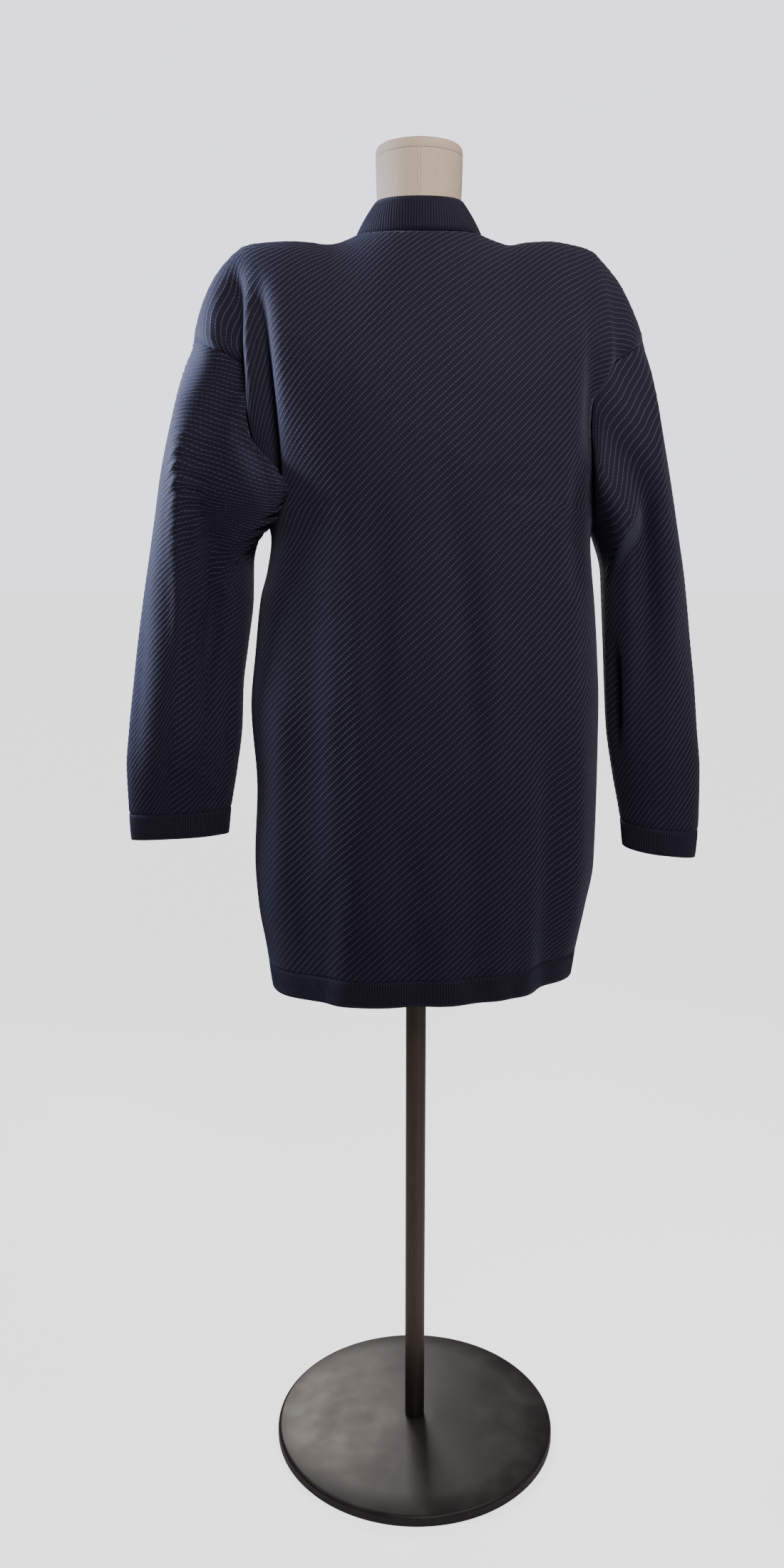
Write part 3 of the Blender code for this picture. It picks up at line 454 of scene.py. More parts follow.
def cuffPoint(side, face, t, share):
    seam, end = sleeves["ends"][side]["seam"], sleeves["ends"][side]["end"]
    turn = (1 - np.cos(math.pi * t)) / 2
    high = seam[0] + (seam[1] - seam[0]) * turn
    low = end[0] + (end[1] - end[0]) * turn
    z = high + (low - high) * share
    flat = sleeveSection(side, face, t, z, np.ones_like(t))
    return np.stack([side * flat[..., 0], flat[..., 1], z], axis=-1)


def aroundTube(point, side, turn, along):
    # turn counts half rounds from the outer edge by the back, 0 to 2
    turn = np.mod(turn, 2)
    back = point(side, 1, np.minimum(turn, 1), along)
    front = point(side, -1, np.minimum(2 - turn, 1), along)
    return np.where((turn <= 1)[..., None], back, front)


# the band round the neck and down both fronts
band = {
    "width": 0.034,
    "neckCentreY": 0.012,
    "topRadius": 0.0484,
    "flatLean": 1.45,
    "turn": 0.085,
    "swing": 0.040,
    "way": -0.08,
    "crown": 0.0012,
    "endFade": 0.05,
    "join": -0.37,         # the two halves meet a little to the right of centre back
}


def bandSeam(side, v):
    # v runs from centre back (0) to the side of the neck (1), then down the front edge to 2
    neckH = neckColumn(side)
    back = bodyPoint(side, 1, np.minimum(v, 1) * neckH, np.full_like(v, 2.0))
    edge = bodyPoint(side, -1, np.full_like(v, neckH), 2 * (2 - np.maximum(v, 1)))
    return np.where((v <= 1)[..., None], back, edge)


def bandLean(seam):
    way = seam[..., :2] - np.array([0, band["neckCentreY"]])
    size = np.linalg.norm(way, axis=-1, keepdims=True)
    lean = np.arcsin(np.clip((size - band["topRadius"]) / band["width"], -1, 1))
    return -way / size, lean


def bandPoint(side, v, across):
    seam = bandSeam(side, v)
    way, lean = bandLean(seam)
    cornerWay, cornerLean = bandLean(bandSeam(side, np.array([1.0])))
    drop = body["neckSide"][1] - seam[..., 2:]
    frontWay = cornerWay + (np.array([-side, band["way"]]) - cornerWay) * ease(drop / band["swing"])
    frontWay = frontWay / np.linalg.norm(frontWay, axis=-1, keepdims=True)
    frontLean = cornerLean + (band["flatLean"] - cornerLean) * ease(drop / band["turn"])
    onFront = (v > 1)[..., None]
    way = np.where(onFront, frontWay, way)
    lean = np.where(onFront, frontLean, lean)
    reach = band["width"] * across[..., None]
    flat = seam[..., :2] + way * reach * np.sin(lean)
    z = seam[..., 2:] + reach * np.cos(lean) * ease((2 - v) / band["endFade"])[..., None]
    return np.concatenate([flat, z], axis=-1)


# knitted sheets
def arcLength(points, axis):
    steps = np.linalg.norm(np.diff(points, axis=axis), axis=-1)
    zero = np.zeros_like(np.take(steps, [0], axis=axis))
    return np.cumsum(np.concatenate([zero, steps], axis=axis), axis=axis)


def normalsOf(surface, c, w, wraps):
    step = 6e-4
    low = (c - step, c + step) if wraps else (np.maximum(c - step, 0), np.minimum(c + step, 1))
    across = surface(low[1], w) - surface(low[0], w)
    along = surface(c, np.minimum(w + step, 1)) - surface(c, np.maximum(w - step, 0))
    normal = np.cross(across, along)
    return normal / np.maximum(np.linalg.norm(normal, axis=-1, keepdims=True), 1e-12)


def gridPiece(name, points, uv, turned, joined):
    # a primitive grid, shaped to the points, with merged doubles where rows run out
    rows, columns = points.shape[:2]
    bpy.ops.object.select_all(action="DESELECT")
    bpy.ops.mesh.primitive_grid_add(x_subdivisions=columns - 1, y_subdivisions=rows - 1, size=1)
    piece = bpy.context.object
    piece.name = name
    piece.data.name = name
    piece.data.vertices.foreach_set("co", points.reshape(-1).astype(np.float32))
    layer = piece.data.uv_layers[0]
    corners = np.empty(len(piece.data.loops), dtype=np.int32)
    piece.data.loops.foreach_get("vertex_index", corners)
    layer.data.foreach_set("uv", uv.reshape(-1, 2)[corners].reshape(-1).astype(np.float32))
    bpy.ops.object.mode_set(mode="EDIT")
    bpy.ops.mesh.select_all(action="SELECT")
    bpy.ops.mesh.remove_doubles(threshold=joined)
    if turned:
        bpy.ops.mesh.flip_normals()
    bpy.ops.object.mode_set(mode="OBJECT")
    bpy.ops.object.shade_smooth()
    return piece


def wallOf(piece, thickness):
    bpy.ops.object.select_all(action="DESELECT")
    bpy.context.view_layer.objects.active = piece
    piece.select_set(True)
    wall = piece.modifiers.new("wall", "SOLIDIFY")
    wall.thickness = thickness
    wall.offset = -1
    bpy.ops.object.modifier_apply(modifier="wall")
    return piece


# thick diagonal ribs with a thin one between, all leaning one way across the whole garment
diagonalKnit = {
    "pitch": 0.0060,
    "lean": math.radians(41),
    "samples": 6,
    "height": 0.00042,
    "second": 0.35,
    "crest": 0.17,
    "column": 0.0082,
    "seamDip": 0.0009,
    "seamReach": 0.0035,
    "guide": 401,          # points along which a sheet's width is measured
    "fine": 721,           # and its length
    "weld": 2e-5,
}


def ribHeight(phase, settings):
    away = np.abs(phase - np.round(phase))
    between = 0.5 - away
    main = np.exp(-(away / settings["crest"]) ** 2)
    return main + settings["second"] * np.exp(-(between / (0.8 * settings["crest"])) ** 2)


def knitSheet(name, surface, centre, corners=(), side=1, wraps=False, flatAt=0.5):
    # mesh rows follow the ribs: each column of the cloth carries them at even lengths
    knit = diagonalKnit
    fine = np.linspace(0, 1, knit["fine"])
    guide = np.linspace(0, 1, knit["guide"])
    across = arcLength(surface(guide, np.full_like(guide, flatAt)), 0)
    stops = np.interp([0, *corners, 1], guide, across)
    places = [np.linspace(a, b, max(2, round((b - a) / knit["column"]) + 1))[:-1]
              for a, b in zip(stops, stops[1:])]
    flatU = np.append(np.concatenate(places), stops[-1])
    c = np.interp(flatU, across, guide)
    lengths = arcLength(surface(*np.broadcast_arrays(c[None, :], fine[:, None])), 0)
    pitch = knit["pitch"] / math.cos(knit["lean"])
    step = pitch / knit["samples"]
    slope = math.tan(knit["lean"])
    if wraps:      # the ribs meet half a rib out of line at the sleeve's seam
        turns = round(stops[-1] * slope / pitch - 0.5) + 0.5
        slope = turns * pitch / stops[-1]
    slope *= side
    count = np.arange(math.floor((flatU * slope).min() / step) - 1,
                      math.ceil((lengths[-1] + flatU * slope).max() / step) + 2)
    wanted = count[:, None] * step - (flatU * slope)[None, :]
    wanted = np.clip(wanted, 0, lengths[-1][None, :])
    w = np.empty_like(wanted)
    for j in range(len(c)):
        w[:, j] = np.interp(wanted[:, j], lengths[:, j], fine)
    cc = np.broadcast_to(c[None, :], w.shape)
    points = surface(cc, w)
    normal = normalsOf(surface, cc, w, wraps)
    outward = 1 if np.sum(normal * (points - centre(points))) > 0 else -1
    normal = normal * outward
    phase = (wanted + (flatU * slope)[None, :]) / pitch
    toEdge = np.minimum(wanted, lengths[-1][None, :] - wanted)
    toSide = np.minimum(flatU, stops[-1] - flatU)[None, :] + 0 * wanted
    toEdge = np.minimum(toEdge, toSide)
    rise = knit["height"] * ribHeight(phase, knit) * ease(toEdge / knit["seamReach"])
    rise = rise - knit["seamDip"] * (1 - ease(toEdge / knit["seamReach"]))
    points = points + normal * rise[..., None]
    along = flatU[None, :] / math.cos(knit["lean"]) + 0.0 * wanted
    uv = np.stack([along, phase * knit["pitch"]], axis=-1)
    piece = gridPiece(name, points, uv, outward < 0, knit["weld"])
    wallOf(piece, body["wall"])
    flat = (float(stops[-1]), float(lengths[-1].max()))
    area = float(np.sum(np.diff(flatU) * (lengths[-1][1:] + lengths[-1][:-1]) / 2))
    print(f"{name}: {len(piece.data.polygons)} faces, flat {flat[0]:.3f} x {flat[1]:.3f}")
    return piece, flat, area


def bodyMiddle(points):
    return points * np.array([0.0, 0.0, 1.0])


columnGrid = {"columns": 241, "rows": 121, "power": 3, "softened": 6}


def straightColumns(side, face):
    # above the underarm the knit's columns keep their distance from the middle, and only
    # those near the armhole give way to it
    h0 = 0.0 if face > 0 else neckColumn(side)
    h = np.linspace(h0, 1, columnGrid["columns"])
    rows = np.linspace(1, 2, columnGrid["rows"])
    points = bodyPoint(side, face, *np.broadcast_arrays(h[None, :], rows[:, None]))
    reach = arcLength(points, 1)
    share = ((h - h0) / (1 - h0)) ** columnGrid["power"]
    wanted = reach[0][None, :] + (reach[:, -1:] - reach[0, -1]) * share[None, :]
    table = np.stack([np.interp(wanted[i], reach[i], h) for i in range(len(rows))])
    for _ in range(columnGrid["softened"]):     # soften the corner where the columns start to give way
        table[1:-1] = (table[:-2] + 2 * table[1:-1] + table[2:]) / 4

    def column(hAt, r):
        x = (np.clip(hAt, h0, 1) - h0) / (1 - h0) * (len(h) - 1)
        y = np.clip(r - 1, 0, 1) * (len(rows) - 1)
        i = np.clip(np.floor(x).astype(int), 0, len(h) - 2)
        j = np.clip(np.floor(y).astype(int), 0, len(rows) - 2)
        fx, fy = x - i, y - j
        low = table[j, i] * (1 - fx) + table[j, i + 1] * fx
        high = table[j + 1, i] * (1 - fx) + table[j + 1, i + 1] * fx
        return np.where(r <= 1, hAt, low * (1 - fy) + high * fy)
    return column


columnsOf = {(side, face): straightColumns(side, face) for side in (1, -1) for face in (1, -1)}


hemShare = body["hemDepth"] / (body["underarmRow"] - body["hemHeight"])


def backSurface(c, w):
    # c runs from the right side (0) to the left side (1), w from the hem band to the shoulder
    h = np.abs(2 * c - 1)
    r = hemShare + (2 - hemShare) * w
    left = bodyPoint(1, 1, columnsOf[1, 1](h, r), r)
    right = bodyPoint(-1, 1, columnsOf[-1, 1](h, r), r)
    return np.where((c >= 0.5)[..., None], left, right)


def frontSurface(side):
    def surface(c, w):
        neckH = neckColumn(side)
        h = neckH + (1 - neckH) * c
        r = hemShare + (2 - hemShare) * w
        return bodyPoint(side, -1, columnsOf[side, -1](h, r), r)
    return surface


neckShares = [neckColumn(-1), neckColumn(1)]
backPiece, backFlat, backArea = knitSheet(
    "knitBack", backSurface, bodyMiddle, side=1, flatAt=0.3,
    corners=(0.5 - neckShares[0] / 2, 0.5, 0.5 + neckShares[1] / 2))


def sleeveMiddle(side):
    rows = sleeves["sections"][side]

    def middle(points):
        z = points[..., 2]
        width = curveThrough(rows["z"], rows["outer"], z) + curveThrough(rows["z"], rows["inner"], z)
        return np.stack([side * width / 2, 0 * z, z], axis=-1)
    return middle


def sleeveSurface(side):
    # c goes once round from the sleeve's own seam, w from the cuff up to the armhole
    line = sleeves["seamLine"][side]

    def surface(c, w):
        turn = curveThrough(line["s"], line["t"], 1 - w) + 2 * c
        return aroundTube(sleevePoint, side, turn, 1 - w)
    return surface


sheets = {"knitBack": (backPiece, backFlat, backArea)}
for side in (1, -1):
    label = sideName(side).capitalize()
    sheets["knitFront" + label] = knitSheet(
        "knitFront" + label, frontSurface(side), bodyMiddle, side=-side, flatAt=0.3)
    sheets["knitSleeve" + label] = knitSheet(
        "knitSleeve" + label, sleeveSurface(side), sleeveMiddle(side), side=-side, wraps=True,
        flatAt=0.65)
print("knitted panels made")


# fine one by one ribs of hem, cuffs and neck band
fineRib = {
    "pitch": 0.0029,
    "samples": 4,
    "height": 0.00055,
    "rows": 7,
    "flatTop": 0.3,        # how full the ribs stay up to the band's edges
    "edge": 0.02,
    "guide": 801,
    "weld": 2e-5,
}


def ribBand(name, surface, centre, wraps=False, crown=0.0):
    # ribs stand square to the band's edge, so every column of the mesh runs along one
    guide = np.linspace(0, 1, fineRib["guide"])
    across = arcLength(surface(guide, np.full_like(guide, 0.5)), 0)
    length = across[-1]
    ribs = round(length / fineRib["pitch"])
    columns = ribs * fineRib["samples"] + 1
    u = np.linspace(0, length, columns)
    c = np.interp(u, across, guide)
    w = np.linspace(0, 1, fineRib["rows"])
    cc, ww = np.meshgrid(c, w)
    points = surface(cc, ww)
    depth = float(np.median(np.linalg.norm(points[-1] - points[0], axis=-1)))
    normal = normalsOf(surface, cc, ww, wraps)
    outward = 1 if np.sum(normal * (points - centre(points))) > 0 else -1
    phase = u * ribs / length
    wave = fineRib["height"] * (0.5 + 0.5 * np.cos(2 * math.pi * phase))[None, :]
    full = np.sin(math.pi * np.clip(ww, fineRib["edge"], 1 - fineRib["edge"])) ** fineRib["flatTop"]
    rise = wave * full + crown * (1 - (2 * ww - 1) ** 2)
    points = points + normal * (outward * rise)[..., None]
    uv = np.stack([np.broadcast_to(phase * fineRib["pitch"], cc.shape), ww * depth], axis=-1)
    piece = gridPiece(name, points, uv, outward < 0, fineRib["weld"])
    wallOf(piece, body["wall"])
    print(f"{name}: {len(piece.data.polygons)} faces, {length:.3f} x {depth:.3f}")
    return piece, (float(length), depth), None


def hemBackSurface(c, w):
    h = np.abs(2 * c - 1)
    left = bodyPoint(1, 1, h, hemShare * w)
    right = bodyPoint(-1, 1, h, hemShare * w)
    return np.where((c >= 0.5)[..., None], left, right)


def hemFrontSurface(side):
    def surface(c, w):
        neckH = neckColumn(side)
        return bodyPoint(side, -1, neckH + (1 - neckH) * c, hemShare * w)
    return surface


def cuffSurface(side):
    start = float(sleeves["seamLine"][side]["t"][-1])

    def surface(c, w):
        return aroundTube(cuffPoint, side, start + 2 * c, w)
    return surface


def bandSurface(side):
    def surface(c, w):
        first = side * band["join"]
        v = first + (2 - first) * c
        own = bandPoint(side, np.maximum(v, 0), w)
        other = bandPoint(-side, np.maximum(-v, 0), w)
        return np.where((v >= 0)[..., None], own, other)
    return surface


def bandMiddle(points):
    return points * np.array([0.0, 0.0, 1.0]) + np.array([0.0, band["neckCentreY"], 0.0])


sheets["ribHemBack"] = ribBand("ribHemBack", hemBackSurface, bodyMiddle)
for side in (1, -1):
    label = sideName(side).capitalize()
    sheets["ribHemFront" + label] = ribBand(
        "ribHemFront" + label, hemFrontSurface(side), bodyMiddle)
    sheets["ribCuff" + label] = ribBand(
        "ribCuff" + label, cuffSurface(side), sleeveMiddle(side), wraps=True)
    sheets["ribNeck" + label] = ribBand(
        "ribNeck" + label, bandSurface(side), bandMiddle, crown=band["crown"])
print("ribbed bands made")


# the dress form, with a seam at centre back and centre front
form = {
    "power": 2.3,
    "columns": 112,
    "bottom": 0.700,
    "edge": 0.006,
    "neckCentreY": 0.012,
    "neckLean": 0.006,
    "neckFoot": 1.440,
    "neckTop": 1.523,
    "capRadius": 0.0466,
    "capTop": 1.536,
    "corner": 30,
    "sections": rowsOf(
        "z      half   back   front",
        (0.700, 0.150, 0.106, 0.092),
        (0.780, 0.158, 0.112, 0.096),
        (0.880, 0.162, 0.112, 0.098),
        (0.980, 0.145, 0.098, 0.088),
        (1.070, 0.130, 0.086, 0.086),
        (1.160, 0.146, 0.093, 0.102),
        (1.220, 0.164, 0.092, 0.096),
        (1.280, 0.176, 0.088, 0.078)),
    "shoulder": rowsOf(
        "x      z",
        (0.000, 1.4520),
        (0.045, 1.4420),
        (0.063, 1.4380),
        (0.087, 1.4325),
        (0.100, 1.4325),
        (0.115, 1.4357),
        (0.140, 1.4368),
        (0.176, 1.4322)),
    "neck": rowsOf(
        "z      radius",
        (1.466, 0.0445),
        (1.480, 0.0451),
        (1.497, 0.0460),
        (1.523, 0.0466)),
    # shares of the cap's radius and of its height, from its seam to its middle
    "cap": rowsOf(
        "share  rise",
        (0.994, 0.000),
        (0.999, 0.100),
        (1.000, 0.310),
        (0.994, 0.520),
        (0.985, 0.630),
        (0.965, 0.760),
        (0.930, 0.850),
        (0.850, 0.930),
        (0.600, 0.985),
        (0.300, 0.998),
        (0.000, 1.000)),
    # the seams stand up beside their stitching, which lies in a fine groove
    "seam": {"height": 0.0007, "off": 0.0013, "width": 0.0009, "groove": 0.0005, "sunk": 0.6},
    "seamColumns": (0.012, 0.025, 0.04, 0.06, 0.10),
    "footShares": (0.3, 0.6, 0.85, 0.955),
    "edgeTurns": (0.25, 0.5, 0.75),
    "rows": 64,
    "shoulderRows": 42,
    "gather": 1.7,         # draws the shoulder's rows together towards the neck
    "neckRoot": 0.0465,
    "neckRows": 15,
    "neckClose": (0.96, 0.8, 0.4, 0.0),
    "capFoot": (0.02, 0.04, 0.0455),
    "capColumns": 72,
    "gap": 0.0003,
    "weld": 1e-5,
}


def formAngles():
    # even columns, with closer ones beside the seams at centre back and centre front
    even = np.linspace(-math.pi, math.pi, form["columns"] + 1)
    close = np.array(form["seamColumns"])
    away = np.abs((even + math.pi / 2) % math.pi - math.pi / 2)
    kept = even[(away > 1.1 * close[-1]) | (np.abs(even) == math.pi)]
    return np.unique(np.concatenate([kept, -close, [0.0], close, math.pi - close, close - math.pi]))


def latheLike(name, rings, angles):
    # rings of points, each ending on its own first point; the last one is a single point
    points = np.stack(rings)
    steps = arcLength(points, 0).mean(axis=1)
    middles = points[:, :, :2].mean(axis=1, keepdims=True)
    radius = np.linalg.norm(points[:, :, :2] - middles, axis=-1)
    fromSeam = (angles + math.pi / 2) % math.pi - math.pi / 2
    u = fromSeam[None, :] * radius.mean(axis=1, keepdims=True)
    uv = np.stack([u, np.broadcast_to(steps[:, None], u.shape)], axis=-1)
    return gridPiece(name, points, uv, True, form["weld"])


def ringAt(angles, half, back, front, z, centreY=0.0, power=form["power"]):
    # angle 0 is centre back, and the ring runs round by the left side
    x = half * np.sign(np.sin(angles)) * np.abs(np.sin(angles)) ** (2 / power)
    depth = np.where(np.cos(angles) > 0, back, front)
    y = depth * np.sign(np.cos(angles)) * np.abs(np.cos(angles)) ** (2 / power)
    return np.stack([x, centreY + y, np.full(len(angles), z)], axis=-1)


def roundRing(angles, radius, z, centreY=0.0):
    return ringAt(angles, radius, radius, radius, z, centreY, 2)


def stitchedSeams(ring, angles):
    seam = form["seam"]
    out = ring - ring.mean(axis=0)
    reach = np.linalg.norm(out[:, :2], axis=-1)
    across = np.abs((angles + math.pi / 2) % math.pi - math.pi / 2) * reach
    lift = np.exp(-((across - seam["off"]) / seam["width"]) ** 2)
    lift = lift - seam["sunk"] * np.exp(-(across / seam["groove"]) ** 2)
    out = out / np.maximum(reach, 1e-6)[:, None]
    out[:, 2] = 0
    return ring + out * (seam["height"] * lift)[:, None]


def formTorso():
    angles = formAngles()
    rows = form["sections"]
    names = ("half", "back", "front")

    def sizesAt(z):
        return np.array([float(curveThrough(rows["z"], rows[k], z)) for k in names])

    foot, edge = form["bottom"], form["edge"]
    rings = [ringAt(angles, 0, 0, 0, foot)]
    for share in form["footShares"]:
        rings.append(ringAt(angles, *(sizesAt(rows["z"][0]) * share), foot))
    for turn in form["edgeTurns"]:
        z = foot + edge * (1 - math.cos(turn * math.pi / 2))
        grow = edge * (math.sin(turn * math.pi / 2) - 1)
        rings.append(ringAt(angles, *(sizesAt(z) + grow), z))
    sides = len(rings)
    for z in np.linspace(foot + edge, rows["z"][-1], form["rows"]):
        rings.append(ringAt(angles, *sizesAt(z), z))
    half, back, front = sizesAt(rows["z"][-1])
    rim = ringAt(angles, half, back, front, 0)
    root = roundRing(angles, form["neckRoot"], 0, form["neckCentreY"])
    crest = form["shoulder"]
    for rho in 1 - np.linspace(0, 1, form["shoulderRows"])[1:] ** form["gather"]:
        flat = root[:, :2] + (rim[:, :2] - root[:, :2]) * rho
        depth = np.where(flat[:, 1] > 0, back, front)
        room = 1 - np.abs(flat[:, 0] / half) ** form["corner"] - (flat[:, 1] / depth) ** 2
        top = curveThrough(crest["x"], crest["z"], np.abs(flat[:, 0]))
        z = rows["z"][-1] + (top - rows["z"][-1]) * np.sqrt(np.clip(room, 0, 1))
        rings.append(np.column_stack([flat, z]))
    neck = form["neck"]
    for z in np.linspace(neck["z"][0], form["neckTop"], form["neckRows"]):
        lean = form["neckLean"] * (z - form["neckFoot"]) / (form["neckTop"] - form["neckFoot"])
        radius = float(curveThrough(neck["z"], neck["radius"], z))
        rings.append(roundRing(angles, radius, z, form["neckCentreY"] - lean))
    rings[sides:] = [stitchedSeams(ring, angles) for ring in rings[sides:]]
    centreY = form["neckCentreY"] - form["neckLean"]
    for share in form["neckClose"]:
        rings.append(roundRing(angles, form["capRadius"] * share, form["neckTop"], centreY))
    return latheLike("formTorso", rings, angles)


def formCap():
    angles = np.linspace(-math.pi, math.pi, form["capColumns"] + 1)
    low = form["neckTop"] + form["gap"]
    height = form["capTop"] - low
    centreY = form["neckCentreY"] - form["neckLean"]
    rings = [roundRing(angles, radius, low, centreY) for radius in (0, *form["capFoot"])]
    for share, rise in zip(*form["cap"].values()):
        rings.append(roundRing(angles, form["capRadius"] * share, low + height * rise, centreY))
    return latheLike("formCap", rings, angles)


stand = {
    "poleRadius": 0.0122,
    "poleFoot": 0.0203,
    "poleTop": 0.6997,
    "bevel": 0.0010,
    "poleColumns": 64,
    "poleRows": 34,
    "poleEnds": 0.02,
    "baseColumns": 128,
    "base": rowsOf(
        "radius z",
        (0.0000, 0.0000),
        (0.1000, 0.0000),
        (0.1715, 0.0000),
        (0.1738, 0.0006),
        (0.1750, 0.0022),
        (0.1750, 0.0095),
        (0.1744, 0.0118),
        (0.1730, 0.0134),
        (0.1705, 0.0142),
        (0.1400, 0.0157),
        (0.0960, 0.0175),
        (0.0500, 0.0190),
        (0.0300, 0.0198),
        (0.0220, 0.0200),
        (0.0000, 0.0200)),
}


def standPole():
    angles = np.linspace(-math.pi, math.pi, stand["poleColumns"] + 1)
    r, low, top, bevel = (stand[k] for k in ("poleRadius", "poleFoot", "poleTop", "bevel"))
    cut = 0.3 * bevel      # of a round edge's corner
    ends = stand["poleEnds"]
    profile = [(0, low), (r - bevel, low), (r - cut, low + cut), (r, low + bevel)]
    profile += [(r, z) for z in np.linspace(low + ends, top - ends, stand["poleRows"])]
    profile += [(r, top - bevel), (r - cut, top - cut), (r - bevel, top), (0, top)]
    return latheLike("standPole", [roundRing(angles, a, z) for a, z in profile], angles)


def standBase():
    angles = np.linspace(-math.pi, math.pi, stand["baseColumns"] + 1)
    rings = [roundRing(angles, a, z) for a, z in zip(*stand["base"].values())]
    return latheLike("standBase", rings, angles)


formPieces = [formTorso(), formCap(), standPole(), standBase()]
print("dress form made")


# materials: nodes are added by one function, and every scale comes from a size in millimetres
def hexColour(text):
    # sRGB hex to linear
    channels = [int(text[i:i + 2], 16) / 255 for i in (1, 3, 5)]
    linear = [c / 12.92 if c <= 0.04045 else ((c + 0.055) / 1.055) ** 2.4 for c in channels]
    return (*linear, 1.0)


def fillSockets(node, values):
    # a socket, by name or number, takes a value, a node's first output or a chosen output
    for key, value in values.items():
        if isinstance(value, bpy.types.Node):
            value = value.outputs[0]
        if isinstance(value, bpy.types.NodeSocket):
            node.id_data.links.new(value, node.inputs[key])
        else:
            node.inputs[key].default_value = value
    return node


def addNode(tree, kind, *sockets, **settings):
    # sockets are given in their order, or in a dictionary
    node = tree.nodes.new("ShaderNode" + kind)
    for key, value in settings.items():
        setattr(node, key, value)
    named = sockets[0] if sockets and isinstance(sockets[0], dict) else dict(enumerate(sockets))
    return fillSockets(node, named)


def freshMaterial(name):
    # the material, its shader and a function that adds a node to it
    material = bpy.data.materials.new(name)
    material.use_nodes = True
    tree = material.node_tree
    return material, tree.nodes["Principled BSDF"], partial(addNode, tree)


def uneven(add, colour, grains):
    # lighter and darker by each grain's share, and on average as it was
    level = 1.0
    for grain, share in grains:
        part = add("Math", grain, share, 1 - share / 2, operation="MULTIPLY_ADD")
        level = add("Math", level, part, operation="MULTIPLY")
    grey = add("CombineXYZ", level, level, level)
    return add("Mix", {0: 1.0, 6: colour, 7: grey}, data_type="RGBA", blend_type="MULTIPLY").outputs[2]


def raised(add, forms, strength, depthMm):
    # a bump of several forms, each with its share of the depth
    height = 0.0
    for form, share in forms:
        height = add("Math", form, share, height, operation="MULTIPLY_ADD")
    return add("Bump", {"Strength": strength, "Distance": depthMm / 1000, "Height": height})


# cotton yarn, matt, with a faint bluish fuzz at grazing angles; the fibres are 0.42 mm apart here,
# coarser than real ones, so that they show
yarn = {
    "fibreMm": 1 / 2.4,
    "fibreShare": 0.5,
    "rough": (0.76, 0.88),
    "specular": 0.25,
    "sheen": 0.35,
    "sheenRough": 0.45,
    "fuzz": "#8f97b4",
}


def yarnFinish(add, shader, fibre, colour, normal):
    low, high = yarn["rough"]
    fillSockets(shader, {
        "Base Color": colour,
        "Normal": normal,
        "Roughness": add("Math", fibre, high - low, low, operation="MULTIPLY_ADD"),
        "Specular IOR Level": yarn["specular"],
        "Sheen Weight": yarn["sheen"],
        "Sheen Roughness": yarn["sheenRough"],
        "Sheen Tint": hexColour(yarn["fuzz"])})


# navy cotton knitted in diagonal ribs 6 mm apart: ground stitches in upright columns with painted shade
# in the gaps between them, and on each rib a painted highlight along its crest, broken every 3.5 mm
# where a slanted stitch ends
knitLook = {
    "pitch": diagonalKnit["pitch"],
    "bead": 0.0035,
    "beadShift": 0.37,
    "beadDepth": 0.82,
    "wale": 0.00265,
    "course": 0.0021,
    "slant": 0.9,
    "wanderMm": 6.25,
    "wander": 0.0009,
    "cloudMm": 111,
    "cloud": 0.34,
    # painted shade for the gaps between stitches, the stitches' own navy, and a painted highlight for
    # the rib crests
    "deep": "#131223",
    "ground": "#1c1a2f",
    "crest": "#4b4966",
    # from where to where, as shares of a rib or a stitch, each form rises
    "crestSpan": (0.13, 0.02),
    "beadSpan": (0.5, 0.12),
    "waleSpan": (0.0, 0.32),
    "courseSpan": (0.5, 0.1),
    "heights": (0.75, 0.30, 0.12),
    "bump": 0.85,
    "bumpMm": 0.5,
}


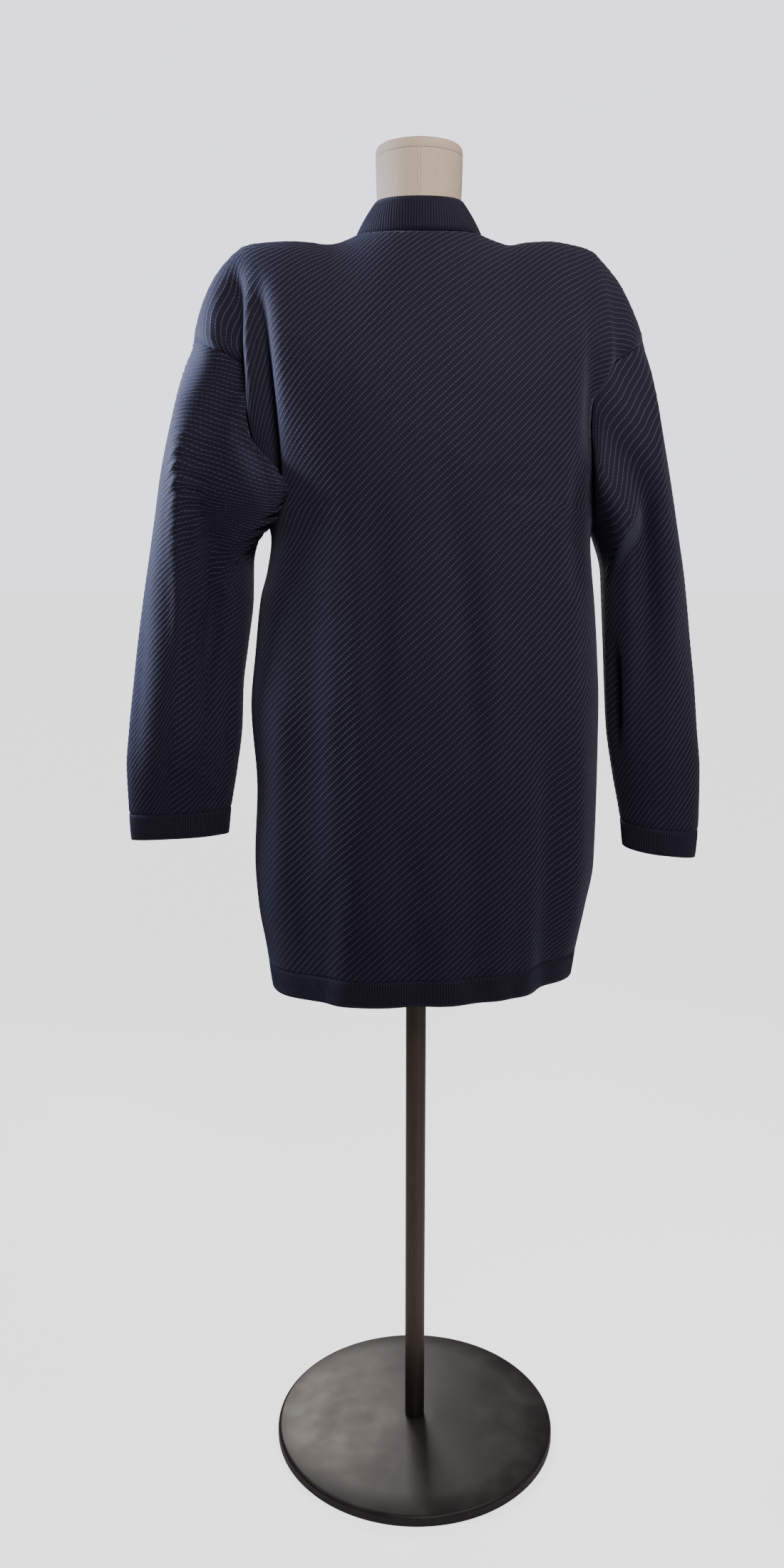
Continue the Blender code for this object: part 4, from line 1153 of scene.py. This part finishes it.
def knitMaterial():
    look = knitLook
    material, shader, add = freshMaterial("navyDiagonalKnit")
    flat = add("SeparateXYZ", add("UVMap", uv_map="UVMap"))
    place = add("TexCoord").outputs["Object"]
    # a little wander keeps the rows from looking ruled
    noise = add("TexNoise", {"Vector": place, "Scale": 1000 / look["wanderMm"]})
    wander = add("Math", add("Math", noise, 0.5, operation="SUBTRACT"), look["wander"],
                 operation="MULTIPLY")
    u = add("Math", flat.outputs[0], wander, operation="ADD")
    v = add("Math", flat.outputs[1], wander, operation="ADD")
    # the painted highlight on the crest of each rib, and the stitches along it
    rib = add("Math", v, look["pitch"], operation="DIVIDE")
    away = add("Math", rib, 0.5, operation="PINGPONG")
    crest = add("MapRange", away, *look["crestSpan"], interpolation_type="SMOOTHSTEP")
    shift = add("Math", add("Math", rib, operation="ROUND"), look["beadShift"], operation="MULTIPLY")
    bead = add("Math", add("Math", u, look["bead"], operation="DIVIDE"), shift, operation="ADD")
    beadAway = add("Math", bead, 0.5, operation="PINGPONG")
    beadTop = add("MapRange", beadAway, *look["beadSpan"], interpolation_type="SMOOTHSTEP")
    broken = add("Math", beadTop, look["beadDepth"], 1 - look["beadDepth"], operation="MULTIPLY_ADD")
    top = add("Math", crest, broken, operation="MULTIPLY")
    # stitches of the ground, upright columns in the cloth, with painted shade in the gaps between them
    cos, sin = math.cos(diagonalKnit["lean"]), math.sin(diagonalKnit["lean"])
    wale = add("Math", u, cos / look["wale"], operation="MULTIPLY")
    waleAway = add("Math", wale, 0.5, operation="PINGPONG")
    height = add("Math", u, -sin, add("Math", v, cos, operation="DIVIDE"), operation="MULTIPLY_ADD")
    course = add("Math", waleAway, look["slant"],
                 add("Math", height, look["course"], operation="DIVIDE"), operation="MULTIPLY_ADD")
    courseAway = add("Math", course, 0.5, operation="PINGPONG")
    column = add("MapRange", waleAway, *look["waleSpan"], interpolation_type="SMOOTHSTEP")
    row = add("MapRange", courseAway, *look["courseSpan"], interpolation_type="SMOOTHSTEP")
    stitch = add("Math", column, row, operation="MULTIPLY")
    cloud = add("TexNoise", {"Vector": place, "Scale": 1000 / look["cloudMm"], "Detail": 3})
    fibre = add("TexNoise", {"Vector": place, "Scale": 1000 / yarn["fibreMm"]})
    # painted shade in the gaps between stitches, then the painted highlight on the rib crests
    ground = add("Mix", {0: stitch, 6: hexColour(look["deep"]), 7: hexColour(look["ground"])},
                 data_type="RGBA").outputs[2]
    colour = add("Mix", {0: top, 6: ground, 7: hexColour(look["crest"])}, data_type="RGBA").outputs[2]
    yarnFinish(add, shader, fibre,
               uneven(add, colour, ((cloud, look["cloud"]), (fibre, yarn["fibreShare"]))),
               raised(add, zip((top, stitch, fibre), look["heights"]), look["bump"], look["bumpMm"]))
    return material


# the same yarn in a one by one rib, 2.9 mm from rib to rib: a painted highlight on each rib's top and
# painted shade in the valley
ribLook = {
    "pitch": fineRib["pitch"],
    "stitch": 0.0021,
    "slant": 1.1,
    "cloudMm": 91,
    "cloud": 0.3,
    # painted shade for the valleys between ribs, and a painted highlight for their tops
    "paintedValleyShade": "#0f0e1c",
    "top": "#27263b",
    "ribSpan": (0.42, 0.08),
    "rowSpan": (0.5, 0.15),
    "heights": (0.8, 0.15),
    "bump": 0.8,
    "bumpMm": 0.3,
}


def ribMaterial():
    look = ribLook
    material, shader, add = freshMaterial("navyFineRib")
    flat = add("SeparateXYZ", add("UVMap", uv_map="UVMap"))
    place = add("TexCoord").outputs["Object"]
    rib = add("Math", flat.outputs[0], look["pitch"], operation="DIVIDE")
    away = add("Math", rib, 0.5, operation="PINGPONG")
    top = add("MapRange", away, *look["ribSpan"], interpolation_type="SMOOTHSTEP")
    row = add("Math", away, look["slant"],
              add("Math", flat.outputs[1], look["stitch"], operation="DIVIDE"), operation="MULTIPLY_ADD")
    rowAway = add("Math", row, 0.5, operation="PINGPONG")
    stitch = add("MapRange", rowAway, *look["rowSpan"], interpolation_type="SMOOTHSTEP")
    fibre = add("TexNoise", {"Vector": place, "Scale": 1000 / yarn["fibreMm"]})
    cloud = add("TexNoise", {"Vector": place, "Scale": 1000 / look["cloudMm"], "Detail": 3})
    # the painted highlight sits on each rib's top, stronger at the middle of each stitch
    light = add("Math", top, add("Math", stitch, 0.5, 0.5, operation="MULTIPLY_ADD"),
                operation="MULTIPLY")
    colour = add("Mix", {0: light, 6: hexColour(look["paintedValleyShade"]), 7: hexColour(look["top"])},
                 data_type="RGBA").outputs[2]
    yarnFinish(add, shader, fibre,
               uneven(add, colour, ((cloud, look["cloud"]), (fibre, yarn["fibreShare"]))),
               raised(add, zip((light, fibre), look["heights"]), look["bump"], look["bumpMm"]))
    return material


# unbleached linen in plain weave, 0.9 mm from thread to thread and stretched over the form: pale,
# matt, with thicker places in its threads
linenLook = {
    "thread": 0.0009,
    "slubMm": 2.381,
    "slub": 0.3,
    "cloudMm": 71.4,
    "cloud": 0.2,
    "over": 0.4,
    "threadSpan": (0.5, 0.1),
    "overSpan": (0.1, 0.4),
    "heights": (1.0, 0.4),
    "gap": "#a3917f",
    "yarn": "#ddcdbd",
    "bump": 0.7,
    "bumpMm": 0.16,
    "rough": 0.85,
    "specular": 0.2,
    "sheen": 0.15,
}


def linenMaterial():
    look = linenLook
    material, shader, add = freshMaterial("plainWovenLinen")
    flat = add("SeparateXYZ", add("UVMap", uv_map="UVMap"))
    place = add("TexCoord").outputs["Object"]
    slub = add("TexNoise", {"Vector": place, "Scale": 1000 / look["slubMm"], "Detail": 3})
    cloud = add("TexNoise", {"Vector": place, "Scale": 1000 / look["cloudMm"], "Detail": 3})
    threads, numbers = [], []
    for way in (0, 1):     # warp and weft
        count = add("Math", flat.outputs[way], look["thread"], operation="DIVIDE")
        away = add("Math", count, 0.5, operation="PINGPONG")
        threads.append(add("MapRange", away, *look["threadSpan"], interpolation_type="SMOOTHSTEP"))
        numbers.append(add("Math", count, operation="ROUND"))
    # each thread goes over one and under the next
    both = add("Math", *numbers, operation="ADD")
    check = add("Math", add("Math", both, 0.5, operation="MULTIPLY"), 0.5, operation="PINGPONG")
    over = add("MapRange", check, *look["overSpan"], interpolation_type="SMOOTHSTEP")
    warpHigh = add("Math", over, look["over"], 1 - look["over"], operation="MULTIPLY_ADD")
    weftHigh = add("Math", over, -look["over"], 1.0, operation="MULTIPLY_ADD")
    weave = add("Math", add("Math", threads[0], warpHigh, operation="MULTIPLY"),
                add("Math", threads[1], weftHigh, operation="MULTIPLY"), operation="MAXIMUM")
    colour = add("Mix", {0: weave, 6: hexColour(look["gap"]), 7: hexColour(look["yarn"])},
                 data_type="RGBA").outputs[2]
    fillSockets(shader, {
        "Base Color": uneven(add, colour, ((slub, look["slub"]), (cloud, look["cloud"]))),
        "Normal": raised(add, zip((weave, slub), look["heights"]), look["bump"], look["bumpMm"]),
        "Roughness": look["rough"],
        "Specular IOR Level": look["specular"],
        "Sheen Weight": look["sheen"]})
    return material


# dark steel tube, brushed along its length: fine streaks 0.4 mm apart that stretch its highlight
poleLook = {
    "streakMm": (0.4, 0.4, 33.3),
    "smudgeMm": 40,
    "dark": "#4a423c",
    "light": "#7b7068",
    "metallic": 0.9,
    "rough": 0.22,
    "streakRough": 0.16,
    "smudgeRough": 0.14,
    "bump": 0.25,
    "bumpMm": 0.05,
}


def poleMaterial():
    look = poleLook
    material, shader, add = freshMaterial("darkBrushedSteel")
    place = add("TexCoord").outputs["Object"]
    stretched = add("Mapping", {"Vector": place, "Scale": [1000 / mm for mm in look["streakMm"]]})
    streak = add("TexNoise", {"Vector": stretched, "Scale": 1.0, "Detail": 3})
    smudge = add("TexNoise", {"Vector": place, "Scale": 1000 / look["smudgeMm"]})
    brushed = add("Math", streak, look["streakRough"], look["rough"], operation="MULTIPLY_ADD")
    fillSockets(shader, {
        "Base Color": add("Mix", {0: streak, 6: hexColour(look["dark"]), 7: hexColour(look["light"])},
                          data_type="RGBA").outputs[2],
        "Roughness": add("Math", smudge, look["smudgeRough"], brushed, operation="MULTIPLY_ADD"),
        "Metallic": look["metallic"],
        "Normal": raised(add, ((streak, 1.0),), look["bump"], look["bumpMm"])})
    return material


# satin stove enamel: dark and even, with a fine orange peel of about 2 mm and a little dust
baseLook = {
    "peelMm": 2,
    "dustMm": 33.3,
    "dark": "#2a2827",
    "dusty": "#3b3836",
    "dustSpan": (0.4, 0.8),
    "rough": (0.28, 0.53),
    "bump": 0.3,
    "bumpMm": 0.1,
}


def baseMaterial():
    look = baseLook
    material, shader, add = freshMaterial("darkSatinEnamel")
    place = add("TexCoord").outputs["Object"]
    peel = add("TexNoise", {"Vector": place, "Scale": 1000 / look["peelMm"]})
    dust = add("TexNoise", {"Vector": place, "Scale": 1000 / look["dustMm"], "Detail": 5})
    cover = add("MapRange", dust, *look["dustSpan"], interpolation_type="SMOOTHSTEP")
    low, high = look["rough"]
    fillSockets(shader, {
        "Base Color": add("Mix", {0: cover, 6: hexColour(look["dark"]), 7: hexColour(look["dusty"])},
                          data_type="RGBA").outputs[2],
        "Roughness": add("Math", dust, high - low, low, operation="MULTIPLY_ADD"),
        "Normal": raised(add, ((peel, 1.0),), look["bump"], look["bumpMm"])})
    return material


def wear(piece, material):
    piece.data.materials.clear()
    piece.data.materials.append(material)


knit, rib, linen = knitMaterial(), ribMaterial(), linenMaterial()
for name, (piece, *_) in sheets.items():
    wear(piece, knit if name.startswith("knit") else rib)
for piece, material in zip(formPieces, (linen, linen, poleMaterial(), baseMaterial())):
    wear(piece, material)
print("materials made")


# what each piece stands for in the part
def standsFor(piece, node):
    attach(piece, "root")
    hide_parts(node)


for piece, node, slot in zip(formPieces, ("form_torso", "form_neck_cap", "stand_pole", "stand_base"),
                             ("linen", "cap_linen", "pole_steel", "base_enamel")):
    standsFor(piece, node)

clothNodes = {
    "knitBack": ("back", ["formTorso"]),
    "knitFrontLeft": ("front_left", ["formTorso"]),
    "knitFrontRight": ("front_right", ["formTorso"]),
    "knitSleeveLeft": ("sleeve_left", ["knitBack", "knitFrontLeft"]),
    "knitSleeveRight": ("sleeve_right", ["knitBack", "knitFrontRight"]),
    "ribHemBack": ("hem_band_back", ["knitBack"]),
    "ribHemFrontLeft": ("hem_band_front_left", ["knitFrontLeft"]),
    "ribHemFrontRight": ("hem_band_front_right", ["knitFrontRight"]),
    "ribCuffLeft": ("cuff_left", ["knitSleeveLeft"]),
    "ribCuffRight": ("cuff_right", ["knitSleeveRight"]),
    "ribNeckLeft": ("band_left", ["knitBack", "knitFrontLeft"]),
    "ribNeckRight": ("band_right", ["knitBack", "knitFrontRight"]),
}
for name, (node, carriers) in clothNodes.items():
    piece, flat, area = sheets[name]
    standsFor(piece, node)


# floor, light and camera
floorLook = {"size": 60.0, "colour": "#f4f4f4", "rough": 0.9, "far": "#ffffff", "glow": 1.85}
bpy.ops.mesh.primitive_plane_add(size=floorLook["size"], location=(0, 0, 0))
floor = bpy.context.object
floor.name = "paleFloor"
material, shader, add = freshMaterial("paleFloorPaint")
# the far floor, out of the lamps' reach, is as bright as the backdrop
rays = add("LightPath").outputs["Is Camera Ray"]
fillSockets(shader, {
    "Base Color": hexColour(floorLook["colour"]),
    "Roughness": floorLook["rough"],
    "Emission Color": hexColour(floorLook["far"]),
    "Emission Strength": add("Math", rays, floorLook["glow"], operation="MULTIPLY")})
wear(floor, material)

# the backdrop is brighter than the light it gives
studio = {"backdrop": 2.10, "fill": 0.11, "colour": "#f6f8ff"}
world = bpy.data.worlds.new("paleStudio")
world.use_nodes = True
add = partial(addNode, world.node_tree)
rays = add("LightPath").outputs["Is Camera Ray"]
fillSockets(world.node_tree.nodes["Background"], {
    "Color": hexColour(studio["colour"]),
    "Strength": add("Math", rays, studio["backdrop"] - studio["fill"], studio["fill"],
                    operation="MULTIPLY_ADD")})
bpy.context.scene.world = world

# place, what it is aimed at, watts, size, spread in degrees and colour
lamps = {
    "keyLight": ((-0.45, 2.25, 2.2), (0.02, 0, 1.32), 6.9, 0.6, 62, "#fff1e6"),
    "rimLight": ((1.00, -0.22, 1.46), (0.30, 0, 1.20), 6.5, 0.35, 76, "#dbe4ff"),
    "frontLight": ((0.6, -2.7, 2.1), (0, 0, 1.15), 12.0, 1.2, 80, "#fff6ee"),
    "neckLight": ((-1.2, 0.5, 2.5), (0, 0, 1.5), 9.0, 0.5, 180, "#fff2e6"),
}
for name, (place, target, watts, size, spread, colour) in lamps.items():
    light = bpy.data.lights.new(name, "AREA")
    light.energy = watts
    light.size = size
    light.spread = math.radians(spread)
    light.color = hexColour(colour)[:3]
    lamp = bpy.data.objects.new(name, light)
    bpy.context.collection.objects.link(lamp)
    lamp.location = place
    lamp.visible_camera = False
    aim = Vector(target) - Vector(place)
    lamp.rotation_euler = aim.to_track_quat("-Z", "Y").to_euler()

cameraLook = {"place": (0.029, 1.47, 1.12), "down": 10.64, "focal": 29.34, "sensor": 36}
camera = bpy.data.cameras.new("photoCamera")
camera.lens = cameraLook["focal"]
camera.sensor_width = cameraLook["sensor"]
cameraObject = bpy.data.objects.new("photoCamera", camera)
bpy.context.collection.objects.link(cameraObject)
cameraObject.location = cameraLook["place"]
cameraObject.rotation_euler = (math.radians(90 - cameraLook["down"]), 0, math.pi)
bpy.context.scene.camera = cameraObject
print("scene lit")
